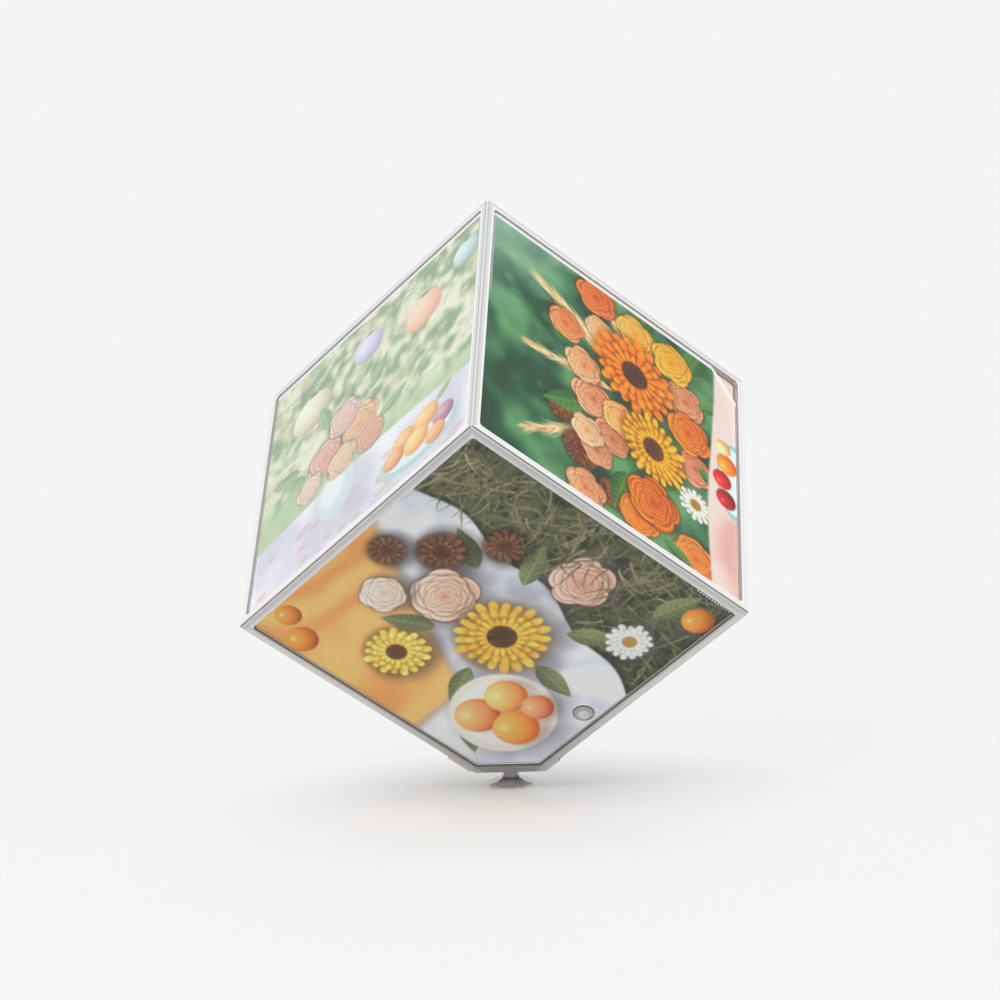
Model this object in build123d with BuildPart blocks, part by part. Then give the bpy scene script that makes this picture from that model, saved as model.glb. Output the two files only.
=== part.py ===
from build123d import *
import os
from math import cos, radians, sin, sqrt, tan

# A photo cube that stands on one corner and turns on a small battery-driven foot.
# Millimetres, +Z up. The origin is the middle of the foot's underside, and the cube's
# front upper corner points to -Y. Three lower faces meet at the cut corner over the foot,
# three upper faces at the top corner.

os.makedirs("parts", exist_ok=True)

# Cube, its rims and the stack of layers in each face
cube_side = 90
corner_cut = 13.6  # along each edge, from the corner that the cube would stand on
foot_height = 4.9  # table to the cut corner
rim_width = 2.4
cut_rim_width = 2.1
cover_recess = 0.5
cover_thickness = 1.0
print_thickness = 0.3
floor_thickness = 1.8
opening_round = 1.2
cover_gap = 0.2
print_gap = 0.35
cover_bevel = 0.25
clip_leg = 8.5  # clipped corner of the upper right cover, where a nail gets under it
edge_bevel = 0.7
seam_round = 0.3
cut_overrun = 1  # how far a cutting block stands out past what it cuts

# Tabs and screws that hold the two shells together
tab_width = 12
tab_thickness = 1.4
tab_height = 6
tab_gap = 0.2
boss_radius = 3.5
boss_length = 12
boss_bite = 0.5  # how far a boss sinks into the wall beside it
boss_along = 18  # from the cube's edge
shell_screw_radius = 1.3
shell_screw_head_radius = 2.3
shell_screw_head_height = 1.0
shell_screw_length = 9

# Foot and its bearing
foot_radius = 6.8
foot_pad_radius = 5.6
foot_pad_thickness = 0.5
disc_rim_height = 0.3  # of its widest band over the pad
disc_rim_band = 0.25
disc_height = 2.1
neck_radius = 2.3
neck_lap = 0.4  # the neck's end above the cut corner
spindle_radius = 1.75
spindle_base = 0.9
running_gap = 0.05  # on the radius
thrust_gap = 0.1
washer_radius = 2.8
washer_thickness = 0.5
bush_flange_radius = 3.1
bush_flange_thickness = 0.8
bush_radius = 2.6
bush_length = 6.5
hub_radius = 5
hub_top = 14.5
clip_radius = 3.4
clip_thickness = 0.7
clip_groove_depth = 0.35
clip_gap = 0.2
clip_mouth = 1.8

# Gears
gear_module = 0.5
wheel_teeth = 32
pinion_teeth = 10
tooth_half_width = 0.33  # at the pitch circle
wheel_addendum = 0.42
wheel_dedendum = 0.65
pinion_addendum = 0.5
pinion_dedendum = 0.55
wheel_tip_slope = 18  # degrees from the tooth's middle line
wheel_root_slope = 12
pinion_tip_slope = 28
pinion_root_slope = -8
tooth_overlap = 0.3  # into the root circle
gear_width = 2.4
level_gap = 0.6
plate_gap = 0.8
axle_radius = 1.0
motor_shaft_radius = 0.9

# Gearbox frame
frame_base = 24
plate_thickness = 2
lobe_radius = 3
pillar_radius = 2
back_post_reach = 21.8
left_post_reach = 14.5
right_post_reach = 12.5
frame_screw_radius = 1.0
frame_screw_head_radius = 1.9
frame_screw_head_height = 1.3
frame_screw_bite = 6  # into the shell's post

# Motor
motor_radius = 10.1
motor_half_width = 7.7
motor_length = 20
motor_nose_radius = 3
motor_nose_height = 1.5
endcap_thickness = 4.5
endcap_inset = 0.4
motor_screw_reach = 6.2
motor_screw_radius = 0.8
motor_screw_head_radius = 1.5
motor_screw_head_height = 0.8
motor_screw_length = 3.5
shaft_tail = 1.5

# Button and its switch, placed on the lower front face
button_along = 35.8  # from the foot corner along the right-hand edge
button_in = 6.7  # from that edge
button_radius = 2.7
button_top_radius = 1.6
button_band = 0.3
button_bevel = 0.6
button_lift = 0.6  # of its top over the cover
button_gap = 0.2
button_travel = 0.6
stem_radius = 1.65
stem_gap = 0.1
stem_print_gap = 0.3
collar_radius = 2.2
collar_thickness = 0.5
collar_gap = 0.1
plunger_radius = 0.9
plunger_length = 1.4
switch_side = 4.5
switch_height = 2.6
switch_gap = 0.1
board_thickness = 1.2
board_width = 7
board_wall_gap = 0.5
board_left = 6.4  # from the button's middle
board_right = 12.4
standoff_radius = 1.6
standoff_inset = 1.8
board_screw_radius = 0.8
board_screw_head_radius = 1.5
board_screw_head_height = 0.8
board_screw_length = 3.5

# Battery, its tray and door, under the upper right face
battery_radius = 7.1
battery_body_length = 49.2
battery_nub_length = 1.0
battery_nub_radius = 2.75
battery_depth = 5.2  # of its skin below the face
battery_bevel = 0.6
tray_wall = 1.4
tray_floor_gap = 0.2
tray_width = 19
contact_space = 2.5
saddle_thickness = 1.6
saddle_spread = 15
saddle_height = 9
ear_length = 7
ear_width = 8
ear_thickness = 1.6
ear_drop = 5
tray_boss_radius = 2.6
tray_screw_radius = 1.0
tray_screw_head_radius = 1.9
tray_screw_head_height = 1.2
tray_screw_length = 5
contact_side = 11
contact_sheet = 0.4
contact_nub_radius = 3
leaf_width = 6
leaf_half_length = 4.8
door_length = 50
door_width = 15
door_travel = 4
door_gap = 0.2
door_drop = 0.1  # of its face below the print
door_round = 1.0
tongue_length = 5
tongue_reach = 1.5
tongue_thickness = 0.9
tongue_gap = 0.1
tongue_spread = 15
notch_spare = 0.3
grip_count = 5
grip_pitch = 1.6
grip_width = 0.7
grip_depth = 0.4
grip_inset = 5

# Worked out from the sizes above
pocket_depth = cover_recess + cover_thickness + print_thickness
wall = pocket_depth + floor_thickness
print_top = cover_recess + cover_thickness
diagonal_rise = sqrt(1 / 3)  # of one unit along an edge that leaves the foot corner
diagonal_reach = sqrt(2 / 3)
corner_height = foot_height - corner_cut * diagonal_rise
face_middle = cube_side / 2
centre_distance = gear_module * (wheel_teeth + pinion_teeth) / 2
level_1 = frame_base + plate_thickness + plate_gap
level_2 = level_1 + gear_width + level_gap
level_3 = level_2 + gear_width + level_gap
frame_top = level_3 + gear_width + plate_gap


def edge_direction(azimuth):
    """The direction of the cube edge that leaves the foot corner at this azimuth."""
    turn = radians(azimuth)
    return Vector(diagonal_reach * cos(turn), diagonal_reach * sin(turn), diagonal_rise)


def around(reach, azimuth):
    """A place beside the spindle, seen from above."""
    return (reach * cos(radians(azimuth)), reach * sin(radians(azimuth)))


left_azimuth = -150
right_azimuth = -30
back_azimuth = 90
motor_azimuth = 150
edge_left = edge_direction(left_azimuth)
edge_right = edge_direction(right_azimuth)
edge_back = edge_direction(back_azimuth)
foot_corner = Vector(0, 0, corner_height)
top_corner = foot_corner + (edge_left + edge_right + edge_back) * cube_side

# Each face has its own plane: the origin in the foot or top corner, +Z outwards
lower_faces = {
    "lower_front": Plane(foot_corner, x_dir=edge_right, z_dir=-edge_back),
    "lower_right": Plane(foot_corner, x_dir=edge_back, z_dir=-edge_left),
    "lower_left": Plane(foot_corner, x_dir=edge_left, z_dir=-edge_right),
}
upper_faces = {
    "upper_left": Plane(top_corner, x_dir=-edge_right, z_dir=edge_left),
    "upper_right": Plane(top_corner, x_dir=-edge_back, z_dir=edge_right),
    "upper_back": Plane(top_corner, x_dir=-edge_left, z_dir=edge_back),
}
button_face = lower_faces["lower_front"]
battery_face = upper_faces["upper_right"]
button_place = (button_along, button_in)
battery_middle = (face_middle, face_middle)


def block(plane, centre, size, top, bottom, mode=Mode.ADD):
    """A block under a face: middle and size in the face, top and bottom as depths."""
    with BuildSketch(plane.offset(-top)) as outline:
        with Locations(centre):
            Rectangle(*size)
    extrude(outline.sketch, amount=top - bottom, mode=mode)


def rod(plane, centres, radius, top, bottom, mode=Mode.ADD):
    """Round pegs or holes under a face, from one depth to another."""
    with BuildSketch(plane.offset(-top)) as outline:
        with Locations(*centres):
            Circle(radius)
    extrude(outline.sketch, amount=top - bottom, mode=mode)


def post(places, radius, low, high, mode=Mode.ADD):
    """Upright pegs or holes, from one height to another."""
    with BuildSketch(Plane.XY.offset(low)) as outline:
        with Locations(*places):
            Circle(radius)
    extrude(outline.sketch, amount=high - low, mode=mode)


def wall_slab(plane):
    """One wall of a shell, mitred on all sides, with its two seam edges rounded."""
    with BuildPart() as slab:
        with BuildSketch(plane):
            Rectangle(cube_side, cube_side, align=(Align.MIN, Align.MIN))
        extrude(amount=-wall)
        far_corner = plane.from_local_coords((cube_side, cube_side, 0))
        for inward in (plane.x_dir, plane.y_dir):
            split(bisect_by=Plane(plane.origin, z_dir=plane.z_dir + inward), keep=Keep.TOP)
            split(bisect_by=Plane(far_corner, z_dir=plane.z_dir - inward), keep=Keep.TOP)
        outer_edges = slab.edges().filter_by(lambda edge: edge.length > cube_side - wall)
        fillet(outer_edges.sort_by_distance(far_corner)[:2], seam_round)
    return slab.part


def bevel_edges(faces):
    """Bevels the three cube edges that meet in the corner of these faces."""
    for plane in faces.values():
        across = Plane(plane.origin, x_dir=plane.y_dir, z_dir=plane.x_dir)
        with BuildSketch(across.offset(-cut_overrun)) as wedge:
            with BuildLine():
                Polyline(
                    (edge_bevel + cut_overrun, cut_overrun),
                    (-cut_overrun, -edge_bevel - cut_overrun),
                    (-cut_overrun, cut_overrun),
                    close=True,
                )
            make_face()
        extrude(wedge.sketch, amount=cube_side + 2 * cut_overrun, mode=Mode.SUBTRACT)


def opening(plane, inset, rounding, is_cut, clip=0):
    """The opening in a face's rim, drawn in all round by inset. A lower face's is cut at the foot."""
    low = rim_width + inset
    high = cube_side - rim_width - inset
    cut = corner_cut + (cut_rim_width + inset) * sqrt(2)
    near = [(low, cut - low), (cut - low, low)] if is_cut else [(low, low)]
    clipped = [(low + clip, high), (low, high - clip)] if clip else [(low, high)]
    with BuildSketch(plane) as outline:
        with BuildLine():
            Polyline(*near, (high, low), (high, high), *clipped, close=True)
        make_face()
        fillet(outline.vertices(), rounding)
    return outline.sketch


def gear(place, low, teeth, is_wheel, tooth_at, mode=Mode.ADD):
    """A spur gear of straight-flanked teeth, one of them at the azimuth tooth_at."""
    pitch_radius = gear_module * teeth / 2
    addendum = wheel_addendum if is_wheel else pinion_addendum
    dedendum = wheel_dedendum if is_wheel else pinion_dedendum
    tip_slope = wheel_tip_slope if is_wheel else pinion_tip_slope
    root_slope = wheel_root_slope if is_wheel else pinion_root_slope
    tip_half = tooth_half_width - addendum * tan(radians(tip_slope))
    root_half = tooth_half_width + dedendum * tan(radians(root_slope))
    tip = pitch_radius + addendum
    root = pitch_radius - dedendum
    with BuildSketch() as tooth:
        with BuildLine():
            Polyline(
                (root - tooth_overlap, -root_half),
                (root, -root_half),
                (pitch_radius, -tooth_half_width),
                (tip, -tip_half),
                (tip, tip_half),
                (pitch_radius, tooth_half_width),
                (root, root_half),
                (root - tooth_overlap, root_half),
                close=True,
            )
        make_face()
    with BuildSketch(Plane((place[0], place[1], low))) as outline:
        Circle(root)
        with PolarLocations(0, teeth, start_angle=tooth_at):
            add(tooth.sketch)
    extrude(outline.sketch, amount=gear_width, mode=mode)


half_turn = 180
half_wheel_pitch = half_turn / wheel_teeth
axis_place = around(0, 0)
second_axle_place = around(centre_distance, back_azimuth)
motor_place = around(centre_distance, motor_azimuth)
frame_places = [
    around(back_post_reach, back_azimuth),
    around(left_post_reach, left_azimuth),
    around(right_post_reach, right_azimuth),
]

# Foot
neck_top = foot_height + neck_lap
disc_top = foot_pad_thickness + disc_height
rim_height = foot_pad_thickness + disc_rim_height
washer_top = neck_top + washer_thickness
bush_base = washer_top + thrust_gap
flange_top = bush_base + bush_flange_thickness
bush_top = flange_top + bush_length
clip_base = hub_top + clip_gap
clip_top = clip_base + clip_thickness
spindle_top = level_1 + gear_width

with BuildPart() as foot_pad:
    post([axis_place], foot_pad_radius, 0, foot_pad_thickness)
foot_pad.part.label = "foot_pad"
export_step(foot_pad.part, "parts/foot_pad.step")

with BuildPart() as foot_disc:
    with BuildSketch(Plane.XZ):
        with BuildLine():
            rim_low = (foot_radius, rim_height)
            rim_high = (foot_radius, rim_height + disc_rim_band)
            neck_root = (neck_radius, disc_top)
            Polyline(
                neck_root,
                (neck_radius, neck_top),
                (spindle_radius, neck_top),
                (spindle_radius, spindle_base),
                (0, spindle_base),
                (0, foot_pad_thickness),
                (foot_pad_radius, foot_pad_thickness),
                rim_low,
                rim_high,
            )
            TangentArc(neck_root, rim_high, tangent=(1, 0))
        make_face()
    revolve(axis=Axis.Z)
foot_disc.part.label = "foot_disc"
export_step(foot_disc.part, "parts/foot_disc.step")

with BuildPart() as spindle:
    post([axis_place], spindle_radius, spindle_base, spindle_top)
    with BuildSketch(Plane.XY.offset(clip_base)) as groove:
        Circle(spindle_radius)
        Circle(spindle_radius - clip_groove_depth, mode=Mode.SUBTRACT)
    extrude(groove.sketch, amount=clip_thickness, mode=Mode.SUBTRACT)
spindle.part.label = "spindle"
export_step(spindle.part, "parts/spindle.step")

with BuildPart() as thrust_washer:
    post([axis_place], washer_radius, neck_top, washer_top)
    post([axis_place], spindle_radius, neck_top, washer_top, Mode.SUBTRACT)
thrust_washer.part.label = "thrust_washer"
export_step(thrust_washer.part, "parts/thrust_washer.step")

with BuildPart() as retaining_clip:
    post([axis_place], clip_radius, clip_base, clip_top)
    post([axis_place], spindle_radius - clip_groove_depth, clip_base, clip_top, Mode.SUBTRACT)
    with BuildSketch(Plane.XY.offset(clip_base)) as mouth:
        Rectangle(clip_radius + cut_overrun, clip_mouth, align=(Align.MIN, Align.CENTER))
    extrude(mouth.sketch, amount=clip_thickness, mode=Mode.SUBTRACT)
retaining_clip.part.label = "retaining_clip"
export_step(retaining_clip.part, "parts/retaining_clip.step")

with BuildPart() as bush:
    post([axis_place], bush_flange_radius, bush_base, flange_top)
    post([axis_place], bush_radius, flange_top, bush_top)
    post([axis_place], spindle_radius + running_gap, bush_base, bush_top, Mode.SUBTRACT)
bush.part.label = "bush"
export_step(bush.part, "parts/bush.step")

# Lower shell: three walls, the hub over the foot, and what stands up inside
stem_hole_radius = stem_radius + stem_gap
switch_top = wall + collar_gap + collar_thickness + button_travel + switch_gap
board_top = switch_top + switch_height
board_bottom = board_top + board_thickness
board_near = wall + board_wall_gap
board_far = board_near + board_width
board_start = button_along - board_left
board_end = button_along + board_right
board_across = (board_near + board_far) / 2
board_screw_places = [
    (board_start + standoff_inset, board_across),
    (board_end - standoff_inset, board_across),
]
boss_in = cube_side - wall - boss_radius + boss_bite
boss_place = (boss_along, boss_in)
tab_place = cube_side - wall - tab_gap - tab_thickness / 2

with BuildPart() as lower_shell:
    for face in lower_faces.values():
        add(wall_slab(face))
    bevel_edges(lower_faces)
    post([axis_place], hub_radius, foot_height, hub_top)
    post(frame_places, lobe_radius, foot_height, frame_base)
    with BuildSketch(lower_faces["lower_front"]) as whole_face:
        Rectangle(cube_side, cube_side, align=(Align.MIN, Align.MIN))
    extrude(whole_face.sketch, amount=-cube_side, mode=Mode.INTERSECT)
    split(bisect_by=Plane.XY.offset(foot_height), keep=Keep.TOP)
    for face in lower_faces.values():
        extrude(opening(face, 0, opening_round, True), amount=-pocket_depth, mode=Mode.SUBTRACT)
        rod(face, [boss_place], shell_screw_radius, pocket_depth, wall, Mode.SUBTRACT)
        head_bottom = pocket_depth + shell_screw_head_height
        rod(face, [boss_place], shell_screw_head_radius, pocket_depth, head_bottom, Mode.SUBTRACT)
        block(face, (face_middle, tab_place), (tab_width, tab_thickness), pocket_depth, wall + tab_height)
        block(face, (tab_place, face_middle), (tab_thickness, tab_width), pocket_depth, wall + tab_height)
    post([axis_place], bush_flange_radius, foot_height, flange_top, Mode.SUBTRACT)
    post([axis_place], bush_radius, flange_top, hub_top, Mode.SUBTRACT)
    post(frame_places, frame_screw_radius, frame_base - frame_screw_bite, frame_base, Mode.SUBTRACT)
    rod(button_face, board_screw_places, standoff_radius, pocket_depth, board_top)
    screw_tip = board_top - board_screw_length + board_thickness
    rod(button_face, board_screw_places, board_screw_radius, screw_tip, board_top, Mode.SUBTRACT)
    rod(button_face, [button_place], stem_hole_radius, pocket_depth, wall, Mode.SUBTRACT)
lower_shell.part.label = "lower_shell"
export_step(lower_shell.part, "parts/lower_shell.step")

# Upper shell: three walls, the bosses for the shell screws, and the battery opening
door_opening_length = door_length + door_travel + 2 * door_gap
door_opening_width = door_width + 2 * door_gap
door_middle = face_middle - door_travel / 2
tongue_alongs = [door_middle - tongue_spread, door_middle + tongue_spread]
notch_size = (
    tongue_length + 2 * notch_spare,
    door_width + 2 * (tongue_reach + notch_spare),
)
battery_length = battery_body_length + battery_nub_length
tray_half_length = battery_length / 2 + contact_space
tray_length = 2 * (tray_half_length + tray_wall)
ear_middle = tray_half_length + tray_wall + ear_length / 2
ear_places = [(face_middle - ear_middle, face_middle), (face_middle + ear_middle, face_middle)]
ear_top = wall + ear_drop
ear_bottom = ear_top + ear_thickness
battery_axis_depth = battery_depth + battery_radius
tray_floor_top = battery_axis_depth + battery_radius + tray_floor_gap

with BuildPart() as upper_shell:
    for face in upper_faces.values():
        add(wall_slab(face))
    bevel_edges(upper_faces)
    for face in upper_faces.values():
        extrude(opening(face, 0, opening_round, False), amount=-pocket_depth, mode=Mode.SUBTRACT)
    for face in lower_faces.values():
        rod(face, [boss_place], boss_radius, wall, wall + boss_length)
        rod(face, [boss_place], shell_screw_radius, wall, wall + boss_length, Mode.SUBTRACT)
    opening_size = (door_opening_length, door_opening_width)
    block(battery_face, battery_middle, opening_size, pocket_depth, wall, Mode.SUBTRACT)
    for along in tongue_alongs:
        notch_middle = (along + door_travel, face_middle)
        block(battery_face, notch_middle, notch_size, pocket_depth, wall, Mode.SUBTRACT)
    rod(battery_face, ear_places, tray_boss_radius, pocket_depth, ear_top)
    boss_floor = ear_bottom - tray_screw_length
    rod(battery_face, ear_places, tray_screw_radius, boss_floor, ear_top, Mode.SUBTRACT)
upper_shell.part.label = "upper_shell"
export_step(upper_shell.part, "parts/upper_shell.step")

# Clear covers and the prints behind them
button_hole_radius = button_radius + button_gap
print_hole_radius = stem_radius + stem_print_gap
for name, face in (lower_faces | upper_faces).items():
    is_lower = name in lower_faces
    clip = clip_leg if face is battery_face else 0
    with BuildPart() as cover:
        outline = opening(face.offset(-cover_recess), cover_gap, opening_round, is_lower, clip)
        extrude(outline, amount=-cover_thickness)
        if face is button_face:
            rod(face, [button_place], button_hole_radius, cover_recess, print_top, Mode.SUBTRACT)
        outer_face = cover.faces().sort_by(Axis(face.origin, face.z_dir))[-1]
        chamfer(outer_face.outer_wire().edges(), cover_bevel)
    cover.part.label = f"cover_{name}"
    export_step(cover.part, f"parts/cover_{name}.step")

    with BuildPart() as picture:
        outline = opening(face.offset(-print_top), print_gap, opening_round, is_lower)
        extrude(outline, amount=-print_thickness)
        if face is button_face:
            rod(face, [button_place], print_hole_radius, print_top, pocket_depth, Mode.SUBTRACT)
    picture.part.label = f"print_{name}"
    export_step(picture.part, f"parts/print_{name}.step")

# Button: a bevelled clear cap, a stem through the wall, and a collar that keeps it in
cap_top = cover_recess - button_lift
cap_bottom = cap_top + button_bevel + button_band
stem_bottom = wall + collar_gap + collar_thickness
with BuildPart() as button_cap:
    rod(button_face, [button_place], button_radius, cap_top + button_bevel, cap_bottom)
    with BuildSketch(button_face.offset(-cap_top)):
        with Locations(button_place):
            Circle(button_top_radius)
    with BuildSketch(button_face.offset(-cap_top - button_bevel)):
        with Locations(button_place):
            Circle(button_radius)
    loft()
    rod(button_face, [button_place], stem_radius, cap_bottom, stem_bottom)
    rod(button_face, [button_place], collar_radius, wall + collar_gap, stem_bottom)
button_cap.part.label = "button_cap"
export_step(button_cap.part, "parts/button_cap.step")

with BuildPart() as switch_plunger:
    plunger_bottom = stem_bottom + plunger_length + button_travel
    rod(button_face, [button_place], plunger_radius, stem_bottom, plunger_bottom)
switch_plunger.part.label = "switch_plunger"
export_step(switch_plunger.part, "parts/switch_plunger.step")

with BuildPart() as tact_switch:
    block(button_face, button_place, (switch_side, switch_side), switch_top, board_top)
    well_radius = plunger_radius + stem_gap
    well_bottom = plunger_bottom + button_travel + switch_gap
    rod(button_face, [button_place], well_radius, switch_top, well_bottom, Mode.SUBTRACT)
tact_switch.part.label = "tact_switch"
export_step(tact_switch.part, "parts/tact_switch.step")

with BuildPart() as circuit_board:
    board_middle = ((board_start + board_end) / 2, board_across)
    block(button_face, board_middle, (board_end - board_start, board_width), board_top, board_bottom)
    rod(button_face, board_screw_places, board_screw_radius, board_top, board_bottom, Mode.SUBTRACT)
circuit_board.part.label = "circuit_board"
export_step(circuit_board.part, "parts/circuit_board.step")

with BuildPart() as board_screws:
    rod(button_face, board_screw_places, board_screw_radius, screw_tip, board_bottom)
    head_end = board_bottom + board_screw_head_height
    rod(button_face, board_screw_places, board_screw_head_radius, board_bottom, head_end)
board_screws.part.label = "board_screws"
export_step(board_screws.part, "parts/board_screws.step")

with BuildPart() as shell_screws:
    for face in lower_faces.values():
        head_bottom = pocket_depth + shell_screw_head_height
        tip = pocket_depth + shell_screw_length
        rod(face, [boss_place], shell_screw_head_radius, pocket_depth, head_bottom)
        rod(face, [boss_place], shell_screw_radius, head_bottom, tip)
shell_screws.part.label = "shell_screws"
export_step(shell_screws.part, "parts/shell_screws.step")

# Battery door: it slides along the face until its tongues reach the notches
door_top = pocket_depth + door_drop
tongue_top = wall + tongue_gap
tongue_bottom = tongue_top + tongue_thickness
with BuildPart() as battery_door:
    with BuildSketch(battery_face.offset(-door_top)) as panel:
        with Locations((door_middle, face_middle)):
            RectangleRounded(door_length, door_width, door_round)
    extrude(panel.sketch, amount=door_top - wall)
    for along in tongue_alongs:
        tongue_size = (tongue_length, door_width + 2 * tongue_reach)
        block(battery_face, (along, face_middle), (tongue_length, door_width), wall, tongue_top)
        block(battery_face, (along, face_middle), tongue_size, tongue_top, tongue_bottom)
    for row in range(grip_count):
        grip_along = door_middle - door_length / 2 + grip_inset + row * grip_pitch
        grip_size = (grip_width, door_width - 2 * grip_inset)
        grip_middle = (grip_along, face_middle)
        block(battery_face, grip_middle, grip_size, door_top, door_top + grip_depth, Mode.SUBTRACT)
battery_door.part.label = "battery_door"
export_step(battery_door.part, "parts/battery_door.step")

# Battery lies along the face's first direction
end_plane = Plane(
    battery_face.from_local_coords((face_middle, face_middle, -battery_axis_depth)),
    x_dir=battery_face.y_dir,
    z_dir=battery_face.x_dir,
)
with BuildPart() as battery_cell:
    with BuildSketch(end_plane.offset(-battery_length / 2)) as cell_end:
        Circle(battery_radius)
    extrude(cell_end.sketch, amount=battery_body_length)
    ends = battery_cell.edges().filter_by(GeomType.CIRCLE)
    chamfer(ends, battery_bevel)
    with BuildSketch(end_plane.offset(battery_length / 2)) as nub:
        Circle(battery_nub_radius)
    extrude(nub.sketch, amount=-battery_nub_length - battery_bevel)
battery_cell.part.label = "battery_cell"
export_step(battery_cell.part, "parts/battery_cell.step")

with BuildPart() as battery_tray:
    outer_size = (tray_length, tray_width + 2 * tray_wall)
    inner_size = (2 * tray_half_length, tray_width)
    block(battery_face, battery_middle, outer_size, tongue_bottom, tray_floor_top + tray_wall)
    block(battery_face, battery_middle, inner_size, tongue_bottom, tray_floor_top, Mode.SUBTRACT)
    for along in (face_middle - saddle_spread, face_middle + saddle_spread):
        saddle_size = (saddle_thickness, tray_width)
        saddle_top = tray_floor_top - saddle_height
        block(battery_face, (along, face_middle), saddle_size, saddle_top, tray_floor_top)
    with BuildSketch(end_plane.offset(-tray_half_length)) as bed:
        Circle(battery_radius + tray_floor_gap)
    extrude(bed.sketch, amount=2 * tray_half_length, mode=Mode.SUBTRACT)
    for place in ear_places:
        block(battery_face, place, (ear_length, ear_width), ear_top, ear_bottom)
    rod(battery_face, ear_places, tray_screw_radius, ear_top, ear_bottom, Mode.SUBTRACT)
battery_tray.part.label = "battery_tray"
export_step(battery_tray.part, "parts/battery_tray.step")

with BuildPart() as tray_screws:
    rod(battery_face, ear_places, tray_screw_radius, boss_floor, ear_bottom)
    head_end = ear_bottom + tray_screw_head_height
    rod(battery_face, ear_places, tray_screw_head_radius, ear_bottom, head_end)
tray_screws.part.label = "tray_screws"
export_step(tray_screws.part, "parts/tray_screws.step")

with BuildPart() as contact_plate:
    with BuildSketch(end_plane.offset(tray_half_length)) as sheet:
        Rectangle(contact_side, contact_side)
    extrude(sheet.sketch, amount=-contact_sheet)
    with BuildSketch(end_plane.offset(tray_half_length - contact_sheet)) as bump:
        Circle(contact_nub_radius)
    extrude(bump.sketch, amount=contact_sheet - contact_space)
contact_plate.part.label = "contact_plate"
export_step(contact_plate.part, "parts/contact_plate.step")

with BuildPart() as contact_leaf:
    with BuildSketch(end_plane.offset(-tray_half_length)) as sheet:
        Rectangle(contact_side, contact_side)
    extrude(sheet.sketch, amount=contact_sheet)
    leaf_plane = Plane(end_plane.origin, x_dir=end_plane.z_dir, z_dir=end_plane.x_dir)
    with BuildSketch(leaf_plane.offset(-leaf_width / 2)) as leaf:
        with BuildLine():
            wall_x = contact_sheet - tray_half_length
            crown_x = contact_space - tray_half_length
            Polyline(
                (wall_x, -leaf_half_length),
                (crown_x, 0),
                (wall_x, leaf_half_length),
                (wall_x, leaf_half_length - 2 * contact_sheet),
                (crown_x - contact_sheet, 0),
                (wall_x, 2 * contact_sheet - leaf_half_length),
                close=True,
            )
        make_face()
    extrude(leaf.sketch, amount=leaf_width)
contact_leaf.part.label = "contact_leaf"
export_step(contact_leaf.part, "parts/contact_leaf.step")

# Gear train, from the gear fixed on the spindle up to the motor
with BuildPart() as output_gear:
    gear(axis_place, level_1, wheel_teeth, True, back_azimuth + half_wheel_pitch)
    post([axis_place], spindle_radius, level_1, spindle_top, Mode.SUBTRACT)
output_gear.part.label = "output_gear"
export_step(output_gear.part, "parts/output_gear.step")

front_azimuth = back_azimuth + half_turn
hub_of_pinion = gear_module * pinion_teeth / 2 - pinion_dedendum
with BuildPart() as compound_gear_2:
    gear(second_axle_place, level_1, pinion_teeth, False, front_azimuth)
    post([second_axle_place], hub_of_pinion, level_1 + gear_width, level_2)
    gear(second_axle_place, level_2, wheel_teeth, True, front_azimuth + half_wheel_pitch)
    bore_radius = axle_radius + running_gap
    post([second_axle_place], bore_radius, level_1, level_2 + gear_width, Mode.SUBTRACT)
compound_gear_2.part.label = "compound_gear_2"
export_step(compound_gear_2.part, "parts/compound_gear_2.step")

with BuildPart() as compound_gear_1:
    gear(axis_place, level_2, pinion_teeth, False, back_azimuth)
    post([axis_place], hub_of_pinion, level_2 + gear_width, level_3)
    gear(axis_place, level_3, wheel_teeth, True, motor_azimuth + half_wheel_pitch)
    post([axis_place], bore_radius, level_2, level_3 + gear_width, Mode.SUBTRACT)
compound_gear_1.part.label = "compound_gear_1"
export_step(compound_gear_1.part, "parts/compound_gear_1.step")

with BuildPart() as motor_pinion:
    gear(motor_place, level_3, pinion_teeth, False, motor_azimuth + half_turn)
    post([motor_place], motor_shaft_radius, level_3, level_3 + gear_width, Mode.SUBTRACT)
motor_pinion.part.label = "motor_pinion"
export_step(motor_pinion.part, "parts/motor_pinion.step")

# Gearbox frame: two plates on three pillars, screwed down on the lower shell's posts
plate_top = frame_top + plate_thickness
with BuildPart() as gearbox_base:
    with BuildSketch(Plane.XY.offset(frame_base)) as base_outline:
        with Locations(*frame_places):
            Circle(lobe_radius)
        make_hull()
    extrude(base_outline.sketch, amount=plate_thickness)
    post(frame_places, pillar_radius, frame_base + plate_thickness, frame_top)
    post(frame_places, frame_screw_radius, frame_base, frame_top, Mode.SUBTRACT)
    spindle_hole_radius = spindle_radius + running_gap
    post([axis_place], spindle_hole_radius, frame_base, frame_base + plate_thickness, Mode.SUBTRACT)
    post([second_axle_place], axle_radius, frame_base, frame_base + plate_thickness, Mode.SUBTRACT)
gearbox_base.part.label = "gearbox_base"
export_step(gearbox_base.part, "parts/gearbox_base.step")

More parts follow.
